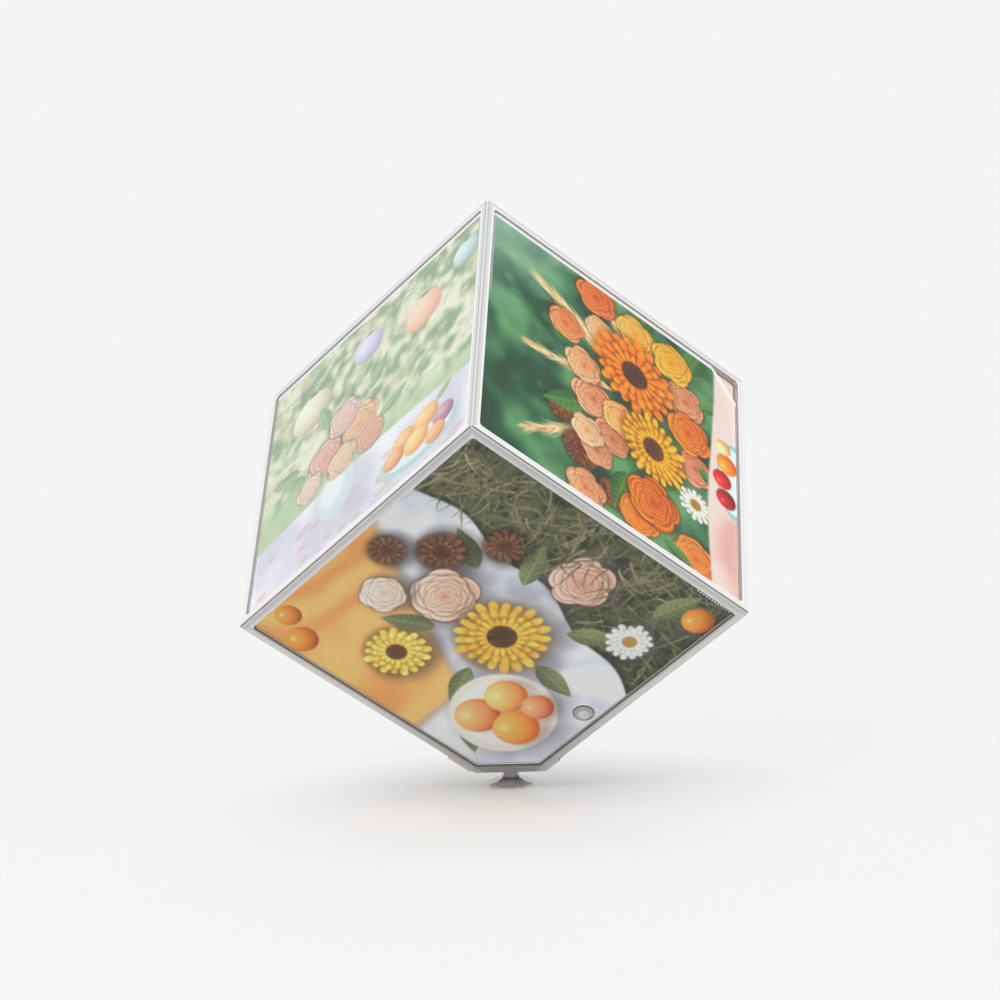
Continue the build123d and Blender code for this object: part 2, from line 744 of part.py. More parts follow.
motor_screw_places = [
    (motor_place[0] + motor_screw_reach, motor_place[1]),
    (motor_place[0] - motor_screw_reach, motor_place[1]),
]
with BuildPart() as gearbox_top:
    with BuildSketch(Plane.XY.offset(frame_top)) as top_outline:
        with Locations(*frame_places):
            Circle(lobe_radius)
        with Locations(motor_place):
            Circle(motor_radius)
        make_hull()
    extrude(top_outline.sketch, amount=plate_thickness)
    post(frame_places, frame_screw_radius, frame_top, plate_top, Mode.SUBTRACT)
    post([axis_place, second_axle_place], axle_radius, frame_top, plate_top, Mode.SUBTRACT)
    post([motor_place], motor_nose_radius, frame_top, plate_top, Mode.SUBTRACT)
    post(motor_screw_places, motor_screw_radius, frame_top, plate_top, Mode.SUBTRACT)
gearbox_top.part.label = "gearbox_top"
export_step(gearbox_top.part, "parts/gearbox_top.step")

with BuildPart() as gear_axles:
    post([second_axle_place], axle_radius, frame_base, plate_top)
    post([axis_place], axle_radius, level_2, plate_top)
gear_axles.part.label = "gear_axles"
export_step(gear_axles.part, "parts/gear_axles.step")

with BuildPart() as gearbox_screws:
    post(frame_places, frame_screw_radius, frame_base - frame_screw_bite, plate_top)
    post(frame_places, frame_screw_head_radius, plate_top, plate_top + frame_screw_head_height)
gearbox_screws.part.label = "gearbox_screws"
export_step(gearbox_screws.part, "parts/gearbox_screws.step")

# Motor
can_top = plate_top + motor_length
with BuildPart() as motor_can:
    with BuildSketch(Plane.XY.offset(plate_top)) as can_outline:
        with Locations(motor_place):
            Circle(motor_radius)
            Rectangle(2 * motor_radius, 2 * motor_half_width, mode=Mode.INTERSECT)
    extrude(can_outline.sketch, amount=motor_length)
    post([motor_place], motor_nose_radius, plate_top - motor_nose_height, plate_top)
    shaft_hole_radius = motor_shaft_radius + running_gap
    nose_bottom = plate_top - motor_nose_height
    post([motor_place], shaft_hole_radius, nose_bottom, can_top, Mode.SUBTRACT)
    screw_depth = motor_screw_length - plate_thickness
    post(motor_screw_places, motor_screw_radius, plate_top, plate_top + screw_depth, Mode.SUBTRACT)
motor_can.part.label = "motor_can"
export_step(motor_can.part, "parts/motor_can.step")

with BuildPart() as motor_endcap:
    with BuildSketch(Plane.XY.offset(can_top)) as cap_outline:
        with Locations(motor_place):
            Circle(motor_radius - endcap_inset)
            flat_width = 2 * (motor_half_width - endcap_inset)
            Rectangle(2 * motor_radius, flat_width, mode=Mode.INTERSECT)
    extrude(cap_outline.sketch, amount=endcap_thickness)
    post([motor_place], shaft_hole_radius, can_top, can_top + shaft_tail, Mode.SUBTRACT)
motor_endcap.part.label = "motor_endcap"
export_step(motor_endcap.part, "parts/motor_endcap.step")

with BuildPart() as motor_shaft:
    post([motor_place], motor_shaft_radius, level_3, can_top + shaft_tail - thrust_gap)
motor_shaft.part.label = "motor_shaft"
export_step(motor_shaft.part, "parts/motor_shaft.step")

with BuildPart() as motor_screws:
    post(motor_screw_places, motor_screw_radius, frame_top, frame_top + motor_screw_length)
    head_low = frame_top - motor_screw_head_height
    post(motor_screw_places, motor_screw_head_radius, head_low, frame_top)
motor_screws.part.label = "motor_screws"
export_step(motor_screws.part, "parts/motor_screws.step")
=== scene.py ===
from math import cos, pi, radians, sin, sqrt

import bmesh
import bpy
import numpy as np
from mathutils import Matrix, Vector


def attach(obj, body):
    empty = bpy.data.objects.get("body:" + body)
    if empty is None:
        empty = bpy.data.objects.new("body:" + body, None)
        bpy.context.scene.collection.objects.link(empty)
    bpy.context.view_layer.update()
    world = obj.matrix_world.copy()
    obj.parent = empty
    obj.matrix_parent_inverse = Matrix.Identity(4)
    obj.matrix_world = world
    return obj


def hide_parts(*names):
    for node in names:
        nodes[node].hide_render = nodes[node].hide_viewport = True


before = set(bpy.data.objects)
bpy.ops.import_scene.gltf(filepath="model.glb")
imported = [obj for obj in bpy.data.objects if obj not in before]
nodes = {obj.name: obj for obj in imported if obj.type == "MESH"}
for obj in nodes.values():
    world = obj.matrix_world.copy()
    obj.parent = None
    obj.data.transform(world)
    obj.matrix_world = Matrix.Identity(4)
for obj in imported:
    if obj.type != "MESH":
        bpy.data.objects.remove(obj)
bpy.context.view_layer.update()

# Sizes in metres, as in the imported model
mm = 0.001
cube_side = 90 * mm
corner_cut = 13.6 * mm
foot_height = 4.9 * mm
weld = 0.001 * mm

# Cube edges that leave the corner over the foot, and the planes of the six faces
reach_share = sqrt(2 / 3)
rise_share = sqrt(1 / 3)


def edge_direction(azimuth):
    """The direction of the cube edge that leaves the foot corner at this azimuth."""
    turn = radians(azimuth)
    return Vector((reach_share * cos(turn), reach_share * sin(turn), rise_share))


edges = [edge_direction(azimuth) for azimuth in (-150, -30, 90)]
edge_left, edge_right, edge_back = edges
foot_corner = Vector((0, 0, foot_height - corner_cut * rise_share))
top_corner = foot_corner + (edge_left + edge_right + edge_back) * cube_side
cube_middle = (foot_corner + top_corner) / 2

# Each face: its corner, the directions of its two edges there, and the way out
faces = {
    "lower_front": (foot_corner, edge_right, edge_left, -edge_back),
    "lower_right": (foot_corner, edge_back, edge_right, -edge_left),
    "lower_left": (foot_corner, edge_left, edge_back, -edge_right),
    "upper_left": (top_corner, -edge_right, -edge_back, edge_left),
    "upper_right": (top_corner, -edge_back, -edge_left, edge_right),
    "upper_back": (top_corner, -edge_left, -edge_right, edge_back),
}


def face_matrix(face):
    """From a face's own coordinates, +Z outwards, to the frame."""
    corner, *axes = faces[face]
    return Matrix.Translation(corner) @ Matrix(axes).transposed().to_4x4()


def add_object(name, data):
    """Puts an object with this data into the scene."""
    thing = bpy.data.objects.new(name, data)
    bpy.context.scene.collection.objects.link(thing)
    return thing


def mesh_from(shape, name, *materials):
    """Ends a bmesh as a mesh with these materials."""
    data = bpy.data.meshes.new(name)
    shape.to_mesh(data)
    shape.free()
    for material in materials:
        data.materials.append(material)
    return data


# Camera, at the photograph's angle
picture_pixels = 1000
view_azimuth = radians(4.67)
view_elevation = radians(6.22)
view_roll = radians(-2.29)
view_distance = 9.447 * cube_side
view_end = 200 * cube_side
focal_pixels = 3294
view_shift_right = 0.0005 * cube_side
view_shift_up = 0.0019 * cube_side
sensor_width = 36  # millimetres, as Blender's camera takes it


def add_camera():
    """The camera looks at the cube's middle, from a little to the right and above."""
    level = cos(view_elevation)
    back = Vector((sin(view_azimuth) * level, -cos(view_azimuth) * level, sin(view_elevation)))
    axes = back.to_track_quat("Z", "Y").to_matrix() @ Matrix.Rotation(view_roll, 3, "Z")
    data = bpy.data.cameras.new("camera")
    data.sensor_width = sensor_width
    data.lens = sensor_width * focal_pixels / picture_pixels
    data.clip_start = cube_side
    data.clip_end = view_end
    camera = add_object("camera", data)
    place = cube_middle + axes @ Vector((view_shift_right, view_shift_up, view_distance))
    camera.matrix_world = Matrix.Translation(place) @ axes.to_4x4()
    bpy.context.scene.camera = camera


# Lamps: direction, distance and width in cube sides, and power in watts
lamps = {
    "key": ((-0.55, -0.62, 0.80), 7.5, 5.0, 2.45),
    "fill": ((0.72, -0.40, 0.62), 7.5, 5.0, 1.75),
    "rim": ((0.05, 0.75, 0.70), 8.0, 4.0, 1.1),
}


def add_lamps():
    """Large soft lamps."""
    for name, (direction, distance, width, power) in lamps.items():
        data = bpy.data.lights.new(name, "AREA")
        data.shape = "DISK"
        data.size = width * cube_side
        data.energy = power
        lamp = add_object(name, data)
        outward = Vector(direction).normalized()
        lamp.location = cube_middle + outward * distance * cube_side
        lamp.rotation_euler = outward.to_track_quat("Z", "Y").to_euler()


def srgb(colour):
    """sRGB values from 0 to 255, from a colour in hexadecimal or from such values."""
    if isinstance(colour, str):
        colour = [int(colour[start:start + 2], 16) for start in (0, 2, 4)]
    return np.asarray(colour, float)


def linear(colour):
    """sRGB values from 0 to 255 as linear ones from 0 to 1."""
    share = srgb(colour) / 255
    return np.where(share <= 0.04045, share / 12.92, ((share + 0.055) / 1.055) ** 2.4)


white = (1, 1, 1, 1)
clear_tint = (0.985, 0.99, 0.99, 1)


class Nodes:
    """A node tree while it is put together. A value may be an output, which then feeds the input."""

    def __init__(self, tree, family="ShaderNode"):
        self.tree = tree
        self.family = family
        tree.nodes.clear()

    def add(self, kind, *values, out=0, **named):
        """Adds a node. Names in small letters are its settings, and the others its inputs."""
        node = self.tree.nodes.new(self.family + kind)
        inputs = list(zip(node.inputs, values))
        for name, value in named.items():
            if name.islower():
                setattr(node, name, value)
            else:
                inputs.append((node.inputs[name.replace("_", " ")], value))
        self.feed(inputs)
        return node.outputs[out]

    def feed(self, inputs):
        """Links outputs to inputs, or sets the inputs' own values."""
        for socket, value in inputs:
            if isinstance(value, bpy.types.NodeSocket):
                self.tree.links.new(value, socket)
            else:
                socket.default_value = value


class Finish(Nodes):
    """A material, or the world, while it is put together."""

    def __init__(self, name, kind="Material"):
        self.owner = (bpy.data.materials if kind == "Material" else bpy.data.worlds).new(name)
        self.owner.use_nodes = True
        super().__init__(self.owner.node_tree)
        self.end = self.tree.nodes.new(f"ShaderNodeOutput{kind}")

    def done(self, shader):
        """Ends the tree in this shader and returns what it belongs to."""
        self.feed([(self.end.inputs["Surface"], shader)])
        return self.owner

    def place(self):
        """Places on the piece, in metres."""
        return self.add("TexCoord", out="Object")

    def noise(self, per_metre, detail=2.0, roughness=0.5):
        """Noise with about this many features in a metre."""
        return self.add("TexNoise", Vector=self.place(), Scale=per_metre, Detail=detail, Roughness=roughness)

    def spread(self, value, low=0, high=1, start=0.3, end=0.7):
        """Maps a value from the range start to end onto low to high."""
        return self.add("MapRange", Value=value, From_Min=start, From_Max=end, To_Min=low, To_Max=high)

    def drift(self, per_metre, detail, low=0, high=1):
        """Noise that is spread over a range."""
        return self.spread(self.noise(per_metre, detail), low, high)

    def math(self, operation, *values):
        """One sum of numbers."""
        return self.add("Math", *values, operation=operation)

    def any_ray(self, *kinds):
        """1 for rays of any of these kinds."""
        rays = [self.add("LightPath", out=f"Is {kind} Ray") for kind in kinds]
        seen = rays[0]
        for ray in rays[1:]:
            seen = self.math("MAXIMUM", seen, ray)
        return seen

    def vector(self, operation, first, second=(0, 0, 0)):
        """One sum of two vectors: a number from DOT_PRODUCT and DISTANCE, and else a vector."""
        out = "Value" if operation in ("DOT_PRODUCT", "DISTANCE") else "Vector"
        return self.add("VectorMath", first, second, out=out, operation=operation)

    def tint(self, share, dark, light):
        """A colour between two sRGB colours, by a value from 0 to 1."""
        return self.blend(share, (*linear(dark), 1), (*linear(light), 1))

    def blend(self, share, first, second):
        """A mix of two colours, which are outputs or linear values."""
        colour = self.add("Mix", data_type="RGBA", out=2)
        sockets = colour.node.inputs
        self.feed([(sockets[0], share), (sockets[6], first), (sockets[7], second)])
        return colour

    def shade(self, colour, value):
        """A colour made lighter or darker."""
        return self.add("HueSaturation", Color=colour, Value=value)

    def bump(self, value, height, **inputs):
        """A relief of this height in metres."""
        return self.add("Bump", Height=value, Distance=height, Strength=1.0, **inputs)

    def mix(self, share, first, second):
        """A mix of two shaders."""
        return self.add("MixShader", share, first, second)

    def gloss(self, roughness):
        """A white highlight."""
        return self.add("BsdfGlossy", Color=white, Roughness=roughness)

    def see_through(self, roughness, ior):
        """A clear body that bends what is seen through it and lets the lamps' light straight through."""
        bent = self.add("BsdfRefraction", Color=clear_tint, Roughness=roughness, IOR=ior)
        straight = self.add("BsdfTransparent", Color=clear_tint)
        return self.mix(self.any_ray("Shadow", "Diffuse"), bent, straight)


def moulded(name, dark, light, grain, roughness, metal=0.0, height=0.004 * mm):
    """Moulded plastic, rubber or metal: its colour and gloss drift a little, over a fine grain."""
    finish = Finish(name)
    drift = finish.drift(45, 3)
    return finish.done(finish.add(
        "BsdfPrincipled",
        Base_Color=finish.tint(drift, dark, light),
        Roughness=finish.spread(drift, *roughness, 0, 1),
        Metallic=metal,
        Normal=finish.bump(finish.noise(grain), height),
    ))


# World and floor
backdrop_white = (0.913, 0.913, 0.913, 1)
world_light = 0.55
floor_radius = 9 * cube_side
floor_sides = 96
floor_fade_start = 1.3 * cube_side
floor_fade_end = 4.5 * cube_side
floor_evenness = (0.05, 0.92)  # the backdrop's share of what the camera sees, in the shadow and round it
shadow_middle = Vector((4 * mm, -30 * mm, 0))
shadow_range = (12 * mm, 85 * mm)


def add_world():
    """Even light for the object, and a near-white background for the camera, gloss and glass."""
    finish = Finish("studio", "World")
    light = finish.add("Background", Strength=world_light)
    backdrop = finish.add("Background", Color=backdrop_white)
    shown = finish.any_ray("Camera", "Glossy", "Transmission")
    bpy.context.scene.world = finish.done(finish.mix(shown, light, backdrop))


def add_floor():
    """A pale floor that keeps the shadow and fades into the background further out."""
    finish = Finish("floor_paper")
    far = finish.add(
        "MapRange", interpolation_type="SMOOTHERSTEP", Value=finish.vector("DISTANCE", finish.place()),
        From_Min=floor_fade_start, From_Max=floor_fade_end,
    )
    paper = finish.add("BsdfDiffuse", Color=finish.tint(finish.drift(30, 2), "e9eaea", "ececec"))
    from_shadow = finish.vector("DISTANCE", finish.place(), shadow_middle)
    evenness = finish.spread(from_shadow, *floor_evenness, *shadow_range)
    seen = finish.math("MULTIPLY", finish.any_ray("Camera", "Transmission"), evenness)
    near = finish.mix(seen, paper, finish.add("Emission", Color=backdrop_white))
    material = finish.done(finish.mix(far, near, finish.add("BsdfTransparent")))
    shape = bmesh.new()
    bmesh.ops.create_circle(shape, cap_ends=True, radius=floor_radius, segments=floor_sides)
    floor = add_object("floor", mesh_from(shape, "floor", material))


# Shells
rim_width = 2.4 * mm
shell_edge_round = 0.25 * mm
wall_depth = 0.5 * mm  # past which a shell surface that is square to an edge is a wall of its recess
square_slope = 0.62  # of a surface's normal along that edge

# The rims' greys from the cube's edge inwards, as shares of the rim's width and sRGB values:
# beside the seam between the shells, and beside the other edges. They paint light and shade on the rims:
# the white lines are painted highlights on the rounded lips, the dark lines painted shade in the seam's
# groove and at the bevels, and the lower shell's greys, darker than the upper's and darker inwards, painted
# shade
rim_light_and_shade = {
    "upper_shell": (
        ((0.00, "f4f4f3"), (0.08, "ececeb"), (0.12, "8e8c8b"), (0.22, "969493"),
         (0.30, "f6f7f6"), (0.46, "fafbfa"), (0.64, "e2e3e3"), (0.90, "ffffff")),
        ((0.00, "dddede"), (0.20, "dbdcdc"), (0.28, "ced0d1"), (0.36, "d0d2d3"),
         (0.46, "d8d9d9"), (0.76, "e4e5e5"), (0.86, "fcfdfc"), (1.00, "ffffff")),
    ),
    "lower_shell": (
        ((0.00, "fcfcfb"), (0.14, "f8f8f7"), (0.24, "d4d4d3"), (0.46, "c4c4c3"),
         (0.62, "d0d0cf"), (0.80, "d8d8d7"), (0.90, "f0f0ef"), (1.00, "f0f0ef")),
        ((0.00, "e2e2e1"), (0.18, "f0f0ef"), (0.34, "e2e2e1"), (0.50, "dededc"),
         (0.66, "dad9d8"), (0.80, "d6d5d3"), (0.92, "c8c6c4"), (1.00, "bab7b4")),
    ),
}
# Painted shade: the darker greys of the recess's walls, by shell
wall_shade_tones = {"upper_shell": "b8b2ae", "lower_shell": "8e847e"}
foot_shade_share = 0.72  # painted shade: the share of its colour that is left on the lower shell just over the foot
foot_shade_end = 26 * mm


def rim_colour(finish, shell):
    """The shell's colour: the rim's lines of painted highlight and shade by the distance from the cube's
    edges, the recess's walls painted dark as shade, and painted shade towards the foot on the lower shell.
    """
    place = finish.vector("SUBTRACT", finish.place(), foot_corner)
    normal = finish.add("TexCoord", out="Normal")
    runs = []
    is_shaded_wall = 0.0
    for edge in edges:
        run = finish.vector("DOT_PRODUCT", place, edge)
        rest = finish.math("SUBTRACT", cube_side, run)
        facing = finish.math("ABSOLUTE", finish.vector("DOT_PRODUCT", normal, edge))
        square = finish.math("GREATER_THAN", facing, square_slope)
        inside = finish.math("GREATER_THAN", finish.math("MINIMUM", run, rest), wall_depth)
        is_shaded_wall = finish.math("MAXIMUM", is_shaded_wall, finish.math("MULTIPLY", square, inside))
        # Counted from the corner that all the shell's other edges leave
        runs.append(run if shell == "lower_shell" else rest)
    first, second, third = runs
    least = finish.math("MINIMUM", first, second)
    most = finish.math("MAXIMUM", first, second)
    off_seam = finish.math("SUBTRACT", cube_side, finish.math("MAXIMUM", most, third))
    off_other = finish.math("MAXIMUM", least, finish.math("MINIMUM", most, third))
    colours = []
    for off, tones in zip((off_seam, off_other), rim_light_and_shade[shell]):
        colour = finish.add("ValToRGB", Fac=finish.spread(off, 0, 1, 0, rim_width))
        stops = colour.node.color_ramp.elements
        for number, (share, tone) in enumerate(tones):
            stop = stops[number] if number < 2 else stops.new(share)
            stop.position = share
            stop.color = (*linear(tone), 1)
        colours.append(colour)
    colour = finish.blend(finish.math("LESS_THAN", off_seam, off_other), colours[1], colours[0])
    # Painted shade: the recess's walls take their darker grey
    colour = finish.blend(is_shaded_wall, colour, (*linear(wall_shade_tones[shell]), 1))
    # Painted shade: the lower shell grows darker towards the foot
    if shell == "lower_shell":
        height = finish.add("SeparateXYZ", finish.place(), out="Z")
        colour = finish.shade(colour, finish.spread(height, foot_shade_share, 1, foot_height, foot_shade_end))
    return colour


def silver_plastic(shell):
    """Satin silver-grey plastic with fine metal flake, a faint moulded grain, softly rounded edges,
    and painted highlights and shade on its rims.
    """
    finish = Finish(f"silver_plastic_{shell}")
    scuffs = finish.spread(finish.noise(420, 5, 0.62), 0, 1, 0.52, 0.66)
    sheen = finish.spread(finish.drift(28, 4), 0.30, 0.36, 0, 1)
    rounded = finish.add("Bevel", samples=6, Radius=shell_edge_round)
    return finish.done(finish.add(
        "BsdfPrincipled",
        Base_Color=finish.shade(rim_colour(finish, shell), finish.drift(9000, 1, 0.96, 1.04)),
        Metallic=0.3,
        Roughness=finish.math("MULTIPLY_ADD", scuffs, 0.05, sheen),
        Normal=finish.bump(finish.noise(2600), 0.003 * mm, Normal=rounded),
    ))


# Covers
cover_gloss_share = 0.5
cover_ior = 1.49
edge_slope = (0.70, 0.98)  # of a surface's normal along the face's: a narrow side, and a broad one
edge_cover = 0.9
painted_edge_glow = 0.15  # of white: a glow painted on the cover's edges and highlight strips, though they are no lamp
highlight_sides = {"upper_left": "y", "upper_right": "x", "upper_back": "xy"}  # in face coordinates: the sides where a white strip is painted as highlight
highlight_end = rim_width + 1.05 * mm
clipped_cover = "upper_right"
clip_leg = 8.5 * mm
cover_gap = 0.2 * mm
highlight_width = 1.0 * mm
clip_line = cube_side - 2 * (rim_width + cover_gap) - clip_leg - highlight_width  # y - x on its inner side


def painted_edge_highlight(finish, face):
    """1 on the cover's border where a white strip is painted as the highlight of its polished edge."""
    corner, *axes = faces[face]
    away = finish.vector("SUBTRACT", finish.place(), corner)
    places = [finish.vector("DOT_PRODUCT", away, axis) for axis in axes[:2]]
    borders = [
        finish.math("LESS_THAN", place, highlight_end)
        for place, side in zip(places, "xy") if side in highlight_sides.get(face, "")
    ]
    if face == clipped_cover:
        past = finish.math("SUBTRACT", places[1], places[0])
        borders.append(finish.math("GREATER_THAN", past, clip_line))
    is_highlit = 0.0
    for border in borders:
        is_highlit = finish.math("MAXIMUM", is_highlit, border)
    return is_highlit


def clear_cover(face):
    """Clear acrylic: its two broad sides are clear; its narrow edges are frosted white, and they and a border
    strip on the upper covers carry painted highlight and a faint painted glow.
    """
    finish = Finish(f"clear_cover_{face}")
    toward = finish.vector("DOT_PRODUCT", finish.add("TexCoord", out="Normal"), faces[face][3])
    edge_and_highlight = finish.spread(finish.math("ABSOLUTE", toward), 1, 0, *edge_slope)
    edge_and_highlight = finish.math("MAXIMUM", edge_and_highlight, painted_edge_highlight(finish, face))
    front = finish.math("SUBTRACT", 1.0, finish.add("NewGeometry", out="Backfacing"))
    fresnel = finish.math("MULTIPLY", finish.add("Fresnel", IOR=cover_ior), front)
    gloss = finish.gloss(finish.spread(finish.noise(60, 4, 0.6), 0.02, 0.06))
    clear = finish.see_through(0.0, cover_ior)
    sheet = finish.mix(finish.math("MULTIPLY", fresnel, cover_gloss_share), clear, gloss)
    # Painted highlight: frosted white on the narrow edges and the border strips, with a painted glow
    frost_and_highlight = finish.add(
        "BsdfPrincipled",
        Base_Color=finish.tint(finish.drift(900, 3), "f4f7f7", "fdfefe"),
        Roughness=0.18,
        Emission_Color=white,
        Emission_Strength=painted_edge_glow,
    )
    return finish.done(finish.mix(edge_and_highlight, sheet, finish.mix(edge_cover, clear, frost_and_highlight)))


# Button
button_along = 35.8 * mm
button_in = 6.7 * mm
button_radius = 2.7 * mm
stem_border = (1.40 * mm, 1.50 * mm)
rim_shade_shares = (0.84, 0.94)  # of its radius: where the ring's outer rim is painted dark as shade


def button_plastic():
    """The button: a clear bevelled ring round the pale end of its stem, with painted shade darkening the
    ring's outer rim.
    """
    finish = Finish("button_plastic")
    corner, along, inward, outward = faces["lower_front"]
    middle = corner + along * button_along + inward * button_in
    away = finish.vector("SUBTRACT", finish.place(), middle)
    reach = finish.vector("DISTANCE", finish.vector("CROSS_PRODUCT", away, outward))
    # Painted shade: the ring's body turns dark towards its outer rim
    outline = finish.spread(reach, 0, 1, *(share * button_radius for share in rim_shade_shares))
    body = finish.add("BsdfPrincipled", Roughness=0.2, Base_Color=finish.tint(outline, "d6d6dc", "706c6e"))
    cover = finish.math("MULTIPLY_ADD", outline, 0.25, 0.55)
    clear = finish.mix(cover, finish.see_through(0.01, 1.1), body)
    gloss = finish.gloss(finish.drift(700, 3, 0.02, 0.06))
    ring = finish.mix(finish.add("Fresnel", IOR=cover_ior), clear, gloss)
    pale = finish.add(
        "BsdfPrincipled",
        Base_Color=finish.tint(finish.drift(500, 3), "ced0d4", "e2e4e7"),
        Roughness=finish.drift(900, 3, 0.16, 0.26),
    )
    return finish.done(finish.mix(finish.spread(reach, 1, 0, *stem_border), ring, pale))


# Foot
pad_shade_border = (2.6 * mm, 4.2 * mm)  # from the middle, painted dark as shade, to the pale rim
# Radii and heights in mm of the profile of a dark core put in as painted shade, clear of the spindle, the pad
# and the disc's skin
shade_core_profile = ((1.75, 0.62), (4.1, 0.62), (3.9, 1.0), (3.1, 1.75), (2.35, 2.3), (2.05, 2.8), (1.75, 2.8))
shade_core_steps = 48


def frosted_plastic():
    """The foot's clouded clear plastic: the dark core of painted shade shows through the middle."""
    finish = Finish("foot_plastic")
    clouds = finish.drift(260, 3)
    body = finish.add(
        "BsdfPrincipled",
        Base_Color=finish.tint(clouds, "eceeed", "fafbfa"),
        Roughness=finish.drift(900, 2, 0.16, 0.26),
        Normal=finish.bump(finish.noise(1200), 0.004 * mm),
    )
    clear = finish.add("BsdfTransparent", Color=white)
    return finish.done(finish.mix(finish.spread(clouds, 0.74, 0.82, 0, 1), body, clear))


def pad_rubber():
    """The pad under the foot: dark in its middle as painted shade, and pale towards its rim."""
    finish = Finish("pad_rubber")
    out_of_shade = finish.spread(finish.vector("DISTANCE", finish.place()), 0, 1, *pad_shade_border)
    return finish.done(finish.add(
        "BsdfPrincipled",
        Base_Color=finish.shade(finish.tint(out_of_shade, "5c5654", "f0f0ef"), finish.drift(1200, 3, 0.92, 1.06)),
        Roughness=finish.drift(700, 2, 0.6, 0.8),
        Normal=finish.bump(finish.noise(1800), 0.02 * mm),
    ))


def add_shade_core():
    """A dark core, put in as painted shade, that shows through the foot's clear disc."""
    shape = bmesh.new()
    ring = [shape.verts.new((radius * mm, 0, height * mm)) for radius, height in shade_core_profile]
    sides = [shape.edges.new((ring[number - 1], ring[number])) for number in range(len(ring))]
    bmesh.ops.spin(shape, geom=ring + sides, cent=(0, 0, 0), axis=(0, 0, 1), angle=2 * pi, steps=shade_core_steps)
    bmesh.ops.remove_doubles(shape, verts=shape.verts, dist=weld)
    bmesh.ops.recalc_face_normals(shape, faces=shape.faces)
    material = moulded("shade_core_plastic", "605854", "7a706a", 1400, (0.5, 0.65))
    core = add_object("foot_shade_core", mesh_from(shape, "foot_shade_core", material))
    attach(core, "foot")


# Plain finishes: dark and light colour, grain, roughness and metal, then the nodes that have them
plain_finishes = {
    "door_plastic": ("cecfcd", "e2e3e1", 2600, (0.3, 0.4), 0.3, "battery_door"),
    "turned_steel": ("969698", "b6b6b8", 4000, (0.2, 0.32), 1.0, "spindle gear_axles motor_shaft"),
    "spring_steel": ("5c5c60", "7c7a78", 2500, (0.25, 0.4), 1.0, "retaining_clip"),
    "zinc_steel": ("aaabae", "cacac8", 2200, (0.28, 0.42), 1.0,
                   "shell_screws gearbox_screws motor_screws tray_screws board_screws"),
    "sintered_bronze": ("967040", "ba8e56", 3500, (0.4, 0.55), 0.9, "bush"),
    "white_nylon": ("dedbd0", "eceae2", 1500, (0.4, 0.5), 0.0,
                    "thrust_washer output_gear compound_gear_1 compound_gear_2 motor_pinion"),
    "motor_steel": ("a4a6a8", "c0c0c2", 1800, (0.25, 0.35), 1.0, "motor_can"),
    "green_board": ("165c34", "227040", 2600, (0.3, 0.4), 0.0, "circuit_board"),
    "battery_sleeve": ("2c3a54", "3c4c66", 900, (0.25, 0.35), 0.0, "battery_cell"),
    "nickel_plate": ("bab8b2", "d4d2cc", 2400, (0.22, 0.34), 1.0, "contact_plate contact_leaf"),
}
black_nodes = "gearbox_base gearbox_top motor_endcap battery_tray switch_plunger tact_switch"


def give(material, names):
    """Puts a material on CAD nodes, whose shapes stay as packed."""
    for name in names.split():
        data = nodes[name].data
        data.materials.clear()
        data.materials.append(material)


def give_cad_finishes():
    """A finish for every CAD node that stays in the scene."""
    for shell in rim_light_and_shade:
        give(silver_plastic(shell), shell)
    for face in faces:
        give(clear_cover(face), f"cover_{face}")
    give(button_plastic(), "button_cap")
    give(frosted_plastic(), "foot_disc")
    give(pad_rubber(), "foot_pad")
    for name, (*values, names) in plain_finishes.items():
        give(moulded(name, *values), names)
    give(moulded("black_plastic", "1a1a1c", "28282a", 1700, (0.42, 0.55), height=0.01 * mm), black_nodes)


# A row of fine pale and dark ticks on each print, seen through its cover beside the rim
tick_pitch = 0.9 * mm
tick_size = (0.45 * mm, 0.44 * mm, 0.03 * mm)  # along the rim, across, and high
tick_top = 1.515 * mm  # below the face
tick_off = rim_width + 1.2 * mm
tick_start = 3.6 * mm  # from the cube's edges
tick_ends = {"upper": 34 * mm, "lower": 14 * mm}
ticked_sides = {
    "upper_right": "lower y", "upper_left": "lower x", "upper_back": "lower x",
    "lower_front": "upper x", "lower_right": "upper x", "lower_left": "upper x",
}
tick_tones = {"pale": ("f0f0ee", "fafaf9"), "dark": ("545c64", "686e76")}


def tick_tree(tone, material):
    """Geometry nodes: a box at every pitch along a line, with sizes as inputs."""
    tree = bpy.data.node_groups.new(f"{tone}_ticks", "GeometryNodeTree")
    made = {
        name: tree.interface.new_socket(name, in_out="INPUT", socket_type=f"NodeSocket{kind}").identifier
        for name, kind in (("Geometry", "Geometry"), ("Pitch", "Float"), ("Tick Size", "Vector"))
    }
    tree.interface.new_socket("Geometry", in_out="OUTPUT", socket_type="NodeSocketGeometry")
    maker = Nodes(tree, "GeometryNode")
    given = tree.nodes.new("NodeGroupInput").outputs
    line = maker.add("MeshToCurve", Mesh=given["Geometry"])
    spots = maker.add("CurveToPoints", mode="LENGTH", Curve=line, Length=given["Pitch"])
    box = maker.add("MeshCube", Size=given["Tick Size"])
    solid = maker.add("RealizeInstances", maker.add("InstanceOnPoints", Points=spots, Instance=box))
    inked = maker.add("SetMaterial", Geometry=solid, Material=material)
    tree.links.new(inked, tree.nodes.new("NodeGroupOutput").inputs["Geometry"])
    return tree, made


